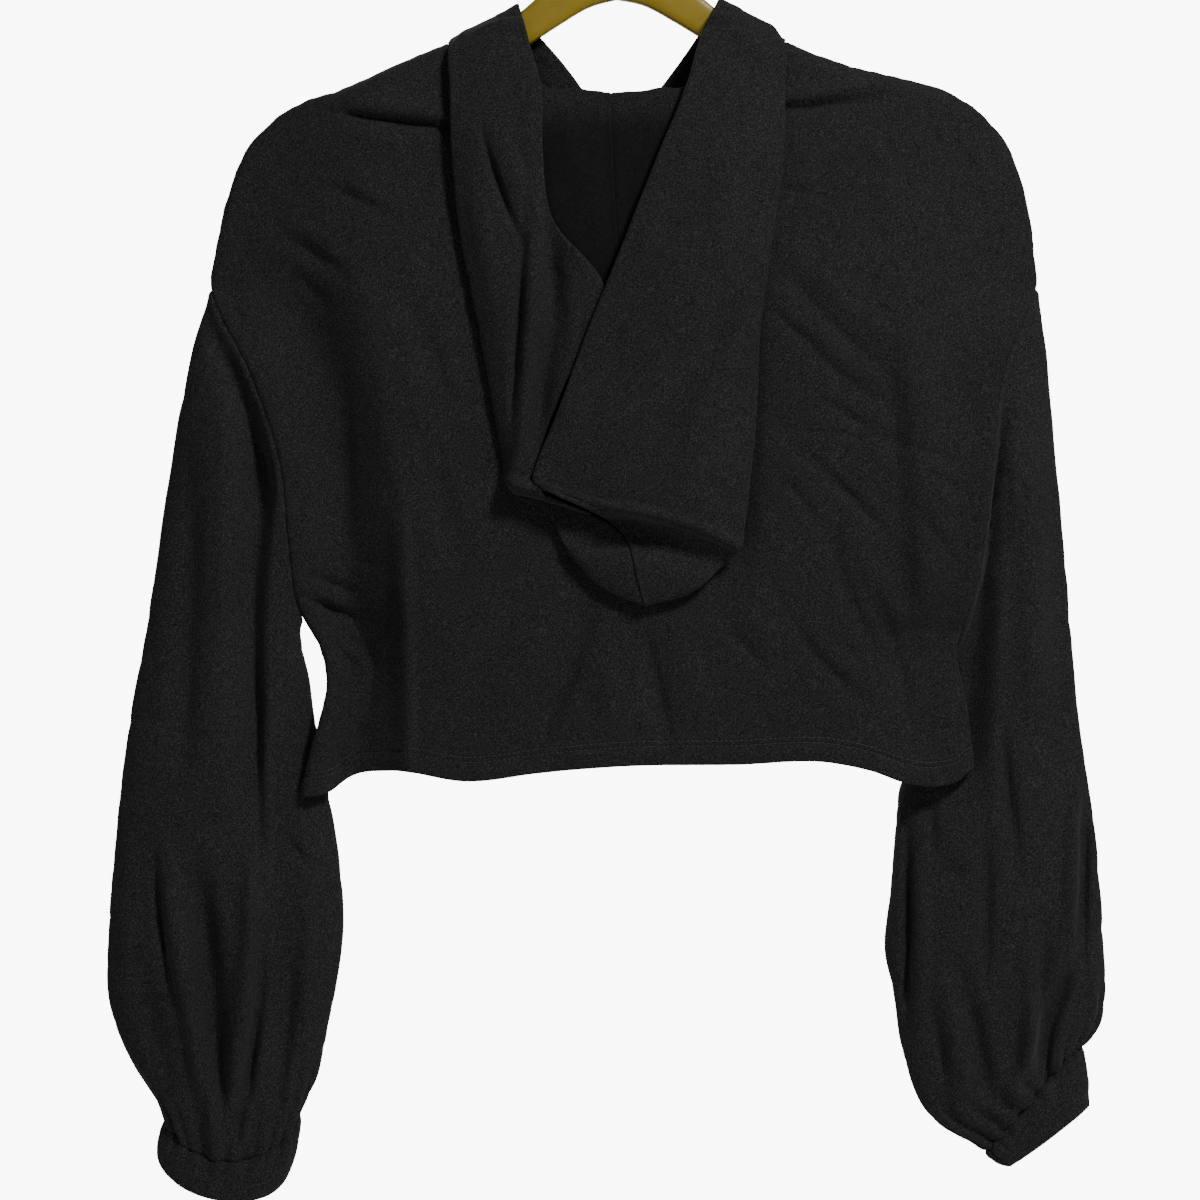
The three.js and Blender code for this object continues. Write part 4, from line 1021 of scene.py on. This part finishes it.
def stitches(name, lines, settings):
    """Rows of short rounded stitches that lie along lines of points in millimetres."""
    pitch, radius = settings.stitch_pitch * MM, settings.thread * MM / 2
    turn = full_turn(STITCH_SIDES)[:, None]
    widths, heights = (radius * np.array(row)[:, None, None] for row in (STITCH_WIDTHS, STITCH_HEIGHTS))
    shares = np.linspace(0.08, 0.92, len(STITCH_WIDTHS))
    points = []
    for line, normal in lines:
        length = arc_lengths(line, 0)
        for i in range(int(length[-1] / pitch)):
            spots = (i + shares) * pitch
            middle = read_line(line, length, spots)
            up = read_line(normal, length, spots[2])
            sideways = np.cross(unit(middle[-1] - middle[0]), up)
            ring = np.cos(turn) * sideways + np.sin(turn) * up
            points.append((middle[:, None] + ring * widths + up * heights).reshape(-1, 3))
    index = np.arange(len(STITCH_WIDTHS) * STITCH_SIDES).reshape(-1, STITCH_SIDES)
    starts = index.size * np.arange(len(points))[:, None, None]
    faces = (closed_tube_faces(index) + starts).reshape(-1, 4)
    return finished_mesh(name, np.concatenate(points) / MM, faces)


def hem_lines(surface, settings):
    """The two stitched lines above a panel's hem, on its outer surface, with the normals there."""
    normals = grid_normals(surface)
    if (normals[..., 1].mean() > 0) != (surface[..., 1].mean() > 0):
        normals = -normals
    length = arc_lengths(surface, 1)
    from_hem = length[:, -1:] - length
    lines = []
    for distance in stitch_distances(settings):
        points, ups = [], []
        for i in range(2, len(surface) - 2):
            place = np.interp(distance, from_hem[i][::-1], np.arange(surface.shape[1])[::-1])
            j = int(place)
            points.append(mix(surface[i, j], surface[i, j + 1], place - j))
            ups.append(normals[i, j])
        lines.append((np.array(points), np.array(ups)))
    return lines


def drawn_out(wave, power):
    """A sine or cosine with a power below 1, which makes a round section squarer."""
    return np.sign(wave) * np.abs(wave) ** power


def hanger_arms():
    """Rings of points along the hanger's arms, one rounded bar from tip to tip."""
    reach = np.linspace(-1, 1, 161)
    x = HANGER_REACH * np.sign(reach) * (1 - (1 - np.abs(reach)) ** 1.15)
    lift = x * HANGER_TILT
    high, low = (lift - line_through(edge)(np.abs(x)) for edge in (ARM_TOP, ARM_BOTTOM))
    tip = turned(HANGER_REACH + 2.5 - np.abs(x), 14)
    half = (high - low) / 2 * (0.35 + 0.65 * tip)
    turn = full_turn(HANGER_SIDES)
    y = HANGER_HALF_DEPTH * (0.55 + 0.45 * tip)[:, None] * drawn_out(np.cos(turn), 0.55)
    z = ((high + low) / 2)[:, None] + half[:, None] * drawn_out(np.sin(turn), 0.45)
    return np.stack([np.broadcast_to(x[:, None], y.shape), y, z], axis=-1)


def hanger_hook():
    """Rings of points along the hook, from inside the arms to its rounded end."""
    radius = HOOK_INSIDE + HOOK_WIRE
    bend = np.radians(np.arange(-50, 201, 10))
    arc = np.stack([radius * np.cos(bend), 0 * bend, radius * np.sin(bend) - HOOK_INSIDE], axis=-1)
    route = np.concatenate([HOOK_STEM, arc])
    count = len(route) - 1
    places = np.linspace(0, count, 180)
    line = path_through(route, places)
    tangent = unit(np.gradient(line, axis=0))
    across = np.array([0.0, 1, 0])
    past_last = np.clip(places - count + 1, 0, 1)
    thick = HOOK_WIRE * np.sqrt(np.clip(1 - past_last**2, 0.02, 1)) + 1.6 * ease((5 - places) / 5)
    turn = full_turn(HANGER_SIDES // 2)[None, :, None]
    ring = np.cos(turn) * across + np.sin(turn) * np.cross(tangent, across)[:, None]
    return line[:, None] + ring * thick[:, None, None]


def hanger_piece():
    """The moulded hanger, its hook rising from the middle of its arms."""
    points, faces, start = [], [], 0
    for tube in (hanger_arms(), hanger_hook()):
        rows, sides = tube.shape[:2]
        faces.append(closed_tube_faces(start + np.arange(rows * sides).reshape(rows, sides)))
        points.append(tube.reshape(-1, 3))
        start += rows * sides
    return finished_mesh("hanger_moulding", np.concatenate(points) / MM, np.concatenate(faces))


def wire(node, inputs):
    """Fills a node's inputs: a socket is linked, and anything else becomes the input's own value."""
    for key, value in inputs.items():
        if isinstance(value, bpy.types.NodeSocket):
            node.id_data.links.new(value, node.inputs[key])
        else:
            node.inputs[key].default_value = value


def new_material(name):
    """A node material, its shader, the place on the object and a function that adds nodes."""
    material = bpy.data.materials.new(name)
    material.use_nodes = True
    tree = material.node_tree

    def add(kind, inputs, **settings):
        node = tree.nodes.new(kind)
        for key, value in settings.items():
            setattr(node, key, value)
        wire(node, inputs)
        return node

    return material, tree.nodes["Principled BSDF"], add("ShaderNodeTexCoord", {}).outputs, add


def noise(add, place, scale, detail, **inputs):
    """Value of a noise texture."""
    inputs = {"Vector": place, "Scale": scale, "Detail": detail, **inputs}
    return add("ShaderNodeTexNoise", inputs).outputs["Fac"]


def bands(add, place, period, direction, inputs):
    """Value of a texture of bands that are one period apart, in metres."""
    inputs = {"Vector": place, "Scale": 2 * math.pi / (20 * period), **inputs}
    return add("ShaderNodeTexWave", inputs, wave_type="BANDS", bands_direction=direction).outputs["Fac"]


def bump(add, height, strength, distance, **inputs):
    """Normal of a surface with small relief."""
    inputs = {"Strength": strength, "Distance": distance, "Height": height, **inputs}
    return add("ShaderNodeBump", inputs).outputs["Normal"]


def ramp(add, source, stops):
    """A colour ramp over a value, from rows of position and grey or colour."""
    node = add("ShaderNodeValToRGB", {"Fac": source})
    elements = node.color_ramp.elements
    while len(elements) < len(stops):
        elements.new(0.5)
    for element, (position, colour) in zip(elements, stops):
        element.position = position
        element.color = colour if hasattr(colour, "__len__") else (colour, colour, colour, 1)
    return node.outputs["Color"]


def shade(colour, factor):
    return (colour[0] * factor, colour[1] * factor, colour[2] * factor, 1)


def cloth_material(name, settings, lightness):
    """Brushed jersey: mottled yarn, painted shade from the mesh, fine ribs of knitting, nap and a soft sheen.
    """
    material, shader, coordinates, add = new_material(name)
    place, weave = coordinates["Object"], coordinates["UV"]
    low, high = settings.mottle_low * lightness, settings.mottle_high * lightness
    yarn = [(position, shade(settings.cloth_colour, factor))
            for position, factor in ((0.32, low), (0.5, lightness), (0.66, high))]
    patch = noise(add, place, 330, 2, Roughness=0.5)
    clouds = ramp(add, patch, [(0.3, 0.92), (0.7, 1.08)])
    wear = ramp(add, noise(add, place, 14, 2, Roughness=0.5), [(0.3, 0.92), (0.7, 1.1)])
    # Painted shade kept on the mesh darkens the inside of the hood; the other pieces have none
    painted_shade = add("ShaderNodeAttribute", {}, attribute_name="painted_shade").outputs["Color"]
    coloured = ramp(add, noise(add, place, 1350, 2, Roughness=0.6), yarn)
    for factor in (clouds, wear, painted_shade):
        mixed = add("ShaderNodeMix", {"Factor": 1.0, 6: coloured, 7: factor}, data_type="RGBA",
                    blend_type="MULTIPLY")
        coloured = mixed.outputs[2]
    drift = {"Distortion": 0.6, "Detail": 1, "Detail Scale": 2}
    wales = bands(add, weave, settings.wale, "X", drift)
    courses = bands(add, weave, 0.75 * settings.wale, "Y", drift)
    knit = add("ShaderNodeMath", {0: wales, 1: courses}, operation="MULTIPLY").outputs[0]
    nap = noise(add, place, 1500, 2)
    wire(shader, {
        "Base Color": coloured,
        "Normal": bump(add, nap, 0.45, 0.0005, Normal=bump(add, knit, 0.25, 0.0003)),
        "Roughness": ramp(add, patch, [(0.3, 0.86), (0.7, 0.97)]),
        "Specular IOR Level": 0.22,
        "Sheen Weight": settings.sheen,
        "Sheen Roughness": 0.45,
        "Sheen Tint": (0.55, 0.56, 0.6, 1),
    })
    return material


def thread_material(settings):
    """Twisted sewing thread, a little glossier than the cloth."""
    material, shader, coordinates, add = new_material("sewing_thread")
    twist = bands(add, coordinates["Object"], 0.0006, "DIAGONAL", {"Distortion": 1.5})
    stops = [(0.2, shade(settings.cloth_colour, 0.9)), (0.8, shade(settings.cloth_colour, 2.4))]
    wire(shader, {
        "Base Color": ramp(add, twist, stops),
        "Normal": bump(add, twist, 0.4, 0.0001),
        "Roughness": 0.5,
    })
    return material


def plastic_material(settings):
    """Satin moulded plastic with faint flow marks, fine pitting and rubbed scratches."""
    material, shader, coordinates, add = new_material("hanger_plastic")
    place = coordinates["Object"]
    colour = settings.hanger_colour
    flow = noise(add, place, 30, 3, Distortion=0.6)
    stretched = add("ShaderNodeMapping", {"Vector": place, "Scale": (40, 400, 400)}).outputs["Vector"]
    wire(shader, {
        "Base Color": ramp(add, flow, [(0.3, shade(colour, 0.9)), (0.7, shade(colour, 1.1))]),
        "Roughness": ramp(add, noise(add, stretched, 3, 4), [(0.35, 0.36), (0.7, 0.56)]),
        "Normal": bump(add, noise(add, place, 1400, 1), 0.12, 0.0003),
        "Specular IOR Level": 0.5,
    })
    return material


def floor_material(settings):
    """Pale matt paint with a barely seen roller texture."""
    material, shader, coordinates, add = new_material("pale_floor")
    stops = [(0.3, shade(settings.floor_colour, 0.98)), (0.7, shade(settings.floor_colour, 1))]
    wire(shader, {"Base Color": ramp(add, noise(add, coordinates["Object"], 90, 3), stops), "Roughness": 0.8})
    return material


def backdrop_material(stage):
    """Translucent white paper lit evenly from behind."""
    material, shader, _, _ = new_material("lit_backdrop")
    wire(shader, {"Base Color": (0.9, 0.9, 0.9, 1), "Emission Color": (1, 1, 1, 1),
                  "Emission Strength": stage.backdrop_glow})
    return material


def dress(piece, material, nodes):
    """Gives a piece its material, seats it on the part and hides the solids that it stands for."""
    piece.data.materials.append(material)
    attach(piece, "root")
    if nodes:
        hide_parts(*nodes)
    return piece


def placed(name, data, place, target):
    """A light or camera at a place, turned to a target."""
    holder = bpy.data.objects.new(name, data)
    bpy.context.scene.collection.objects.link(holder)
    holder.location = place
    east, north, up = np.array(target, float) - np.array(place, float)
    rise = math.atan2(up, math.hypot(east, north))
    holder.rotation_euler = (math.pi / 2 + rise, 0, math.atan2(north, east) - math.pi / 2)
    return holder


def area_light(name, place, target, size, power):
    lamp = bpy.data.lights.new(name, "AREA")
    lamp.shape = "DISK"
    lamp.size = size
    lamp.energy = power
    placed(name, lamp, place, target)


def studio_floor(stage):
    turn = full_turn(FLOOR_SIDES)
    radii = np.array([0.02, 0.3, 0.6, 0.9, 1])[:, None] * stage.floor_radius
    height = np.full((len(radii), FLOOR_SIDES), stage.floor_height)
    rings = np.stack([radii * np.cos(turn), radii * np.sin(turn), height], axis=-1)
    index = np.arange(height.size).reshape(height.shape)
    faces = np.concatenate([tube_faces(index), cap_faces(index[0])])
    return finished_mesh("studio_floor", rings.reshape(-1, 3), faces)


def studio_backdrop(stage, middle):
    reach = stage.backdrop_size / 2
    corners = ((-reach, -reach), (reach, -reach), (reach, reach), (-reach, reach))
    points = [(middle[0] + across, stage.backdrop_distance, middle[2] + up) for across, up in corners]
    return finished_mesh("studio_backdrop", np.array(points), np.array([[0, 1, 2, 3]]))


class ClothSettings(bpy.types.PropertyGroup):
    cloth_wall: bpy.props.FloatProperty(
        name="Cloth", description="Thickness of the brushed jersey", default=0.0016, min=0.001, max=0.003,
        subtype="DISTANCE", unit="LENGTH")
    slow_ripple: bpy.props.FloatProperty(
        name="Slow ripple", description="Height of the broad unevenness of the hanging cloth", default=0.0014,
        subtype="DISTANCE", unit="LENGTH")
    quick_ripple: bpy.props.FloatProperty(
        name="Quick ripple", description="Height of the small unevenness of the cloth", default=0.0003,
        subtype="DISTANCE", unit="LENGTH")
    hem_stitch: bpy.props.FloatProperty(
        name="Hem stitch", description="Distance of the first stitched line from a hem's edge",
        default=0.0105, subtype="DISTANCE", unit="LENGTH")
    stitch_rows_gap: bpy.props.FloatProperty(
        name="Row gap", description="Distance between the two stitched lines of a hem", default=0.0032,
        subtype="DISTANCE", unit="LENGTH")
    stitch_pitch: bpy.props.FloatProperty(
        name="Stitch pitch", description="Length of one stitch and the space after it", default=0.0029,
        subtype="DISTANCE", unit="LENGTH")
    thread: bpy.props.FloatProperty(
        name="Thread", description="Thickness of the sewing thread", default=0.0005,
        subtype="DISTANCE", unit="LENGTH")
    gathers: bpy.props.IntProperty(
        name="Gathers", description="Tucks around each cuff", default=19, min=8, max=60)
    gather_height: bpy.props.FloatProperty(
        name="Gather height", description="Height of the tucks at the cuff seam", default=0.0036,
        subtype="DISTANCE", unit="LENGTH")


class ColourSettings(bpy.types.PropertyGroup):
    cloth_colour: bpy.props.FloatVectorProperty(
        name="Cloth", description="Colour of the jersey's yarn", default=(0.0092, 0.0092, 0.0098), size=3,
        min=0, max=1, subtype="COLOR")
    mottle_low: bpy.props.FloatProperty(
        name="Mottle, dark", description="Share of the yarn colour in the darkest specks", default=0.12,
        min=0, max=1)
    mottle_high: bpy.props.FloatProperty(
        name="Mottle, light", description="Times the yarn colour in the lightest specks", default=3.7,
        min=1, max=6)
    sheen: bpy.props.FloatProperty(
        name="Sheen", description="Strength of the nap's soft sheen", default=0.06, min=0, max=1)
    hanger_colour: bpy.props.FloatVectorProperty(
        name="Hanger", description="Colour of the moulded plastic", default=(0.2346, 0.162, 0.0006), size=3,
        min=0, max=1, subtype="COLOR")
    floor_colour: bpy.props.FloatVectorProperty(
        name="Floor", description="Colour of the studio floor", default=(0.9, 0.9, 0.9), size=3,
        min=0, max=1, subtype="COLOR")
    wale: bpy.props.FloatProperty(
        name="Wale", description="Width of one rib of the knitting", default=0.0008,
        subtype="DISTANCE", unit="LENGTH")


class StageSettings(bpy.types.PropertyGroup):
    camera_distance: bpy.props.FloatProperty(
        name="Camera distance", description="From the camera to the garment", default=2.4,
        subtype="DISTANCE", unit="LENGTH")
    view_width: bpy.props.FloatProperty(
        name="View width", description="Width of the view at the garment", default=0.72,
        subtype="DISTANCE", unit="LENGTH")
    view_middle_x: bpy.props.FloatProperty(
        name="View middle, X", description="Sideways place of the view's middle", default=-0.0102,
        subtype="DISTANCE", unit="LENGTH")
    view_middle_z: bpy.props.FloatProperty(
        name="View middle, Z", description="Height of the view's middle", default=-0.432,
        subtype="DISTANCE", unit="LENGTH")
    floor_height: bpy.props.FloatProperty(
        name="Floor height", description="Height of the studio floor", default=-1.0,
        subtype="DISTANCE", unit="LENGTH")
    floor_radius: bpy.props.FloatProperty(
        name="Floor radius", description="Radius of the studio floor", default=1.3,
        subtype="DISTANCE", unit="LENGTH")
    key_power: bpy.props.FloatProperty(
        name="Key light", description="Power of the light at the upper right", default=47, unit="POWER")
    fill_power: bpy.props.FloatProperty(
        name="Fill light", description="Power of the light at the left", default=4, unit="POWER")
    rear_power: bpy.props.FloatProperty(
        name="Rear light", description="Power of the light on the garment's front", default=26, unit="POWER")
    world_strength: bpy.props.FloatProperty(
        name="Surroundings", description="Brightness of the white surroundings", default=0.15, min=0, max=10)
    backdrop_distance: bpy.props.FloatProperty(
        name="Backdrop distance", description="From the garment to the lit backdrop", default=5.4,
        subtype="DISTANCE", unit="LENGTH")
    backdrop_size: bpy.props.FloatProperty(
        name="Backdrop size", description="Width and height of the lit backdrop", default=2.9,
        subtype="DISTANCE", unit="LENGTH")
    backdrop_glow: bpy.props.FloatProperty(
        name="Backdrop glow", description="Brightness of the backdrop, which is lit from behind", default=9,
        min=0, max=50)


class BuildPanels(bpy.types.Operator):
    """Build the back and front panels with their hems and stitching"""

    bl_idname = "crop_top.build_panels"
    bl_label = "Body panels"

    def execute(self, context):
        cloth, colours = context.scene.crop_top_cloth, context.scene.crop_top_colours
        material = cloth_material("jersey_body", colours, lightness=0.97)
        thread = thread_material(colours)
        for side, node in ((-1, "panel_back"), (1, "panel_front")):
            piece, surface = panel_piece(side, cloth)
            dress(piece, material, [node])
            sewn = stitches("stitches_" + node, hem_lines(surface, cloth), cloth)
            dress(sewn, thread, [])
        return {"FINISHED"}


class BuildHood(bpy.types.Operator):
    """Build the two halves of the hood, which hang as a pouch on the back"""

    bl_idname = "crop_top.build_hood"
    bl_label = "Hood"

    def execute(self, context):
        cloth, colours = context.scene.crop_top_cloth, context.scene.crop_top_colours
        material = cloth_material("jersey_hood", colours, lightness=0.97)
        edges = {side: neck_edge(side) for side in (-1, 1)}
        for node, table, creases in (("hood_left", HOOD_LEFT, LEFT_BAND_CREASES),
                                     ("hood_right", HOOD_RIGHT, RIGHT_BAND_CREASES)):
            piece = hood_piece("cloth_" + node, table, creases, edges, cloth)
            dress(piece, material, [node])
        return {"FINISHED"}


class BuildSleeves(bpy.types.Operator):
    """Build both sleeves, full and gathered at the wrist"""

    bl_idname = "crop_top.build_sleeves"
    bl_label = "Sleeves"

    def execute(self, context):
        cloth, colours = context.scene.crop_top_cloth, context.scene.crop_top_colours
        material = cloth_material("jersey_sleeves", colours, lightness=1.06)
        for side in SLEEVES:
            piece = dress(sleeve_piece(side, cloth), material, ["sleeve_" + side])
        return {"FINISHED"}


class BuildCuffs(bpy.types.Operator):
    """Build the cuffs that hold the gathers"""

    bl_idname = "crop_top.build_cuffs"
    bl_label = "Cuffs"

    def execute(self, context):
        cloth, colours = context.scene.crop_top_cloth, context.scene.crop_top_colours
        material = cloth_material("jersey_cuffs", colours, lightness=1.0)
        for side in CUFFS:
            piece = dress(cuff_piece(side, cloth), material, ["cuff_" + side])
        return {"FINISHED"}


class BuildHanger(bpy.types.Operator):
    """Build the moulded hanger and its hook"""

    bl_idname = "crop_top.build_hanger"
    bl_label = "Hanger"

    def execute(self, context):
        material = plastic_material(context.scene.crop_top_colours)
        dress(hanger_piece(), material, ["hanger"])
        return {"FINISHED"}


class BuildStage(bpy.types.Operator):
    """Build the pale floor, the soft lights, the white surroundings and the camera"""

    bl_idname = "crop_top.build_stage"
    bl_label = "Studio"

    def execute(self, context):
        stage, colours = context.scene.crop_top_stage, context.scene.crop_top_colours
        middle = (stage.view_middle_x, 0, stage.view_middle_z)
        floor = studio_floor(stage)
        floor.data.materials.append(floor_material(colours))
        area_light("key_light", (1.0, -1.45, 1.05), middle, 0.45, stage.key_power)
        area_light("fill_light", (-1.2, -2.2, -0.1), middle, 1.6, stage.fill_power)
        area_light("rear_light", (-1.3, 2.0, 1.1), middle, 1.0, stage.rear_power)
        backdrop = studio_backdrop(stage, middle)
        backdrop.data.materials.append(backdrop_material(stage))
        world = bpy.data.worlds.new("white_surroundings")
        world.use_nodes = True
        wire(world.node_tree.nodes["Background"], {"Color": (1, 1, 1, 1), "Strength": stage.world_strength})
        context.scene.world = world
        camera = bpy.data.cameras.new("photo_camera")
        camera.sensor_width = 36
        camera.lens = camera.sensor_width * stage.camera_distance / stage.view_width
        camera.clip_start, camera.clip_end = 0.05, 50
        place = (stage.view_middle_x, -stage.camera_distance, stage.view_middle_z)
        context.scene.camera = placed("photo_camera", camera, place, middle)
        return {"FINISHED"}


BUILDERS = (BuildPanels, BuildHood, BuildSleeves, BuildCuffs, BuildHanger, BuildStage)
SETTINGS = {
    "crop_top_cloth": ClothSettings,
    "crop_top_colours": ColourSettings,
    "crop_top_stage": StageSettings,
}


class CropTopPanel(bpy.types.Panel):
    """Lists the pieces of the crop top and their sizes and colours"""

    bl_idname = "VIEW3D_PT_crop_top"
    bl_label = "Crop Top"
    bl_space_type = "VIEW_3D"
    bl_region_type = "UI"
    bl_category = "Crop Top"

    def draw(self, context):
        for group in SETTINGS:
            settings = getattr(context.scene, group)
            box = self.layout.box()
            for name in settings.__annotations__:
                box.prop(settings, name)
        for operator in BUILDERS:
            self.layout.operator(operator.bl_idname)


def register():
    for group in SETTINGS.values():
        bpy.utils.register_class(group)
    for name, group in SETTINGS.items():
        setattr(bpy.types.Scene, name, bpy.props.PointerProperty(type=group))
    for operator in BUILDERS:
        bpy.utils.register_class(operator)
    bpy.utils.register_class(CropTopPanel)


def unregister():
    bpy.utils.unregister_class(CropTopPanel)
    for operator in reversed(BUILDERS):
        bpy.utils.unregister_class(operator)
    for name, group in reversed(SETTINGS.items()):
        delattr(bpy.types.Scene, name)
        bpy.utils.unregister_class(group)


def main():
    register()
    bpy.ops.crop_top.build_panels()
    bpy.ops.crop_top.build_hood()
    bpy.ops.crop_top.build_sleeves()
    bpy.ops.crop_top.build_cuffs()
    bpy.ops.crop_top.build_hanger()
    bpy.ops.crop_top.build_stage()


if __name__ == "__main__":
    main()
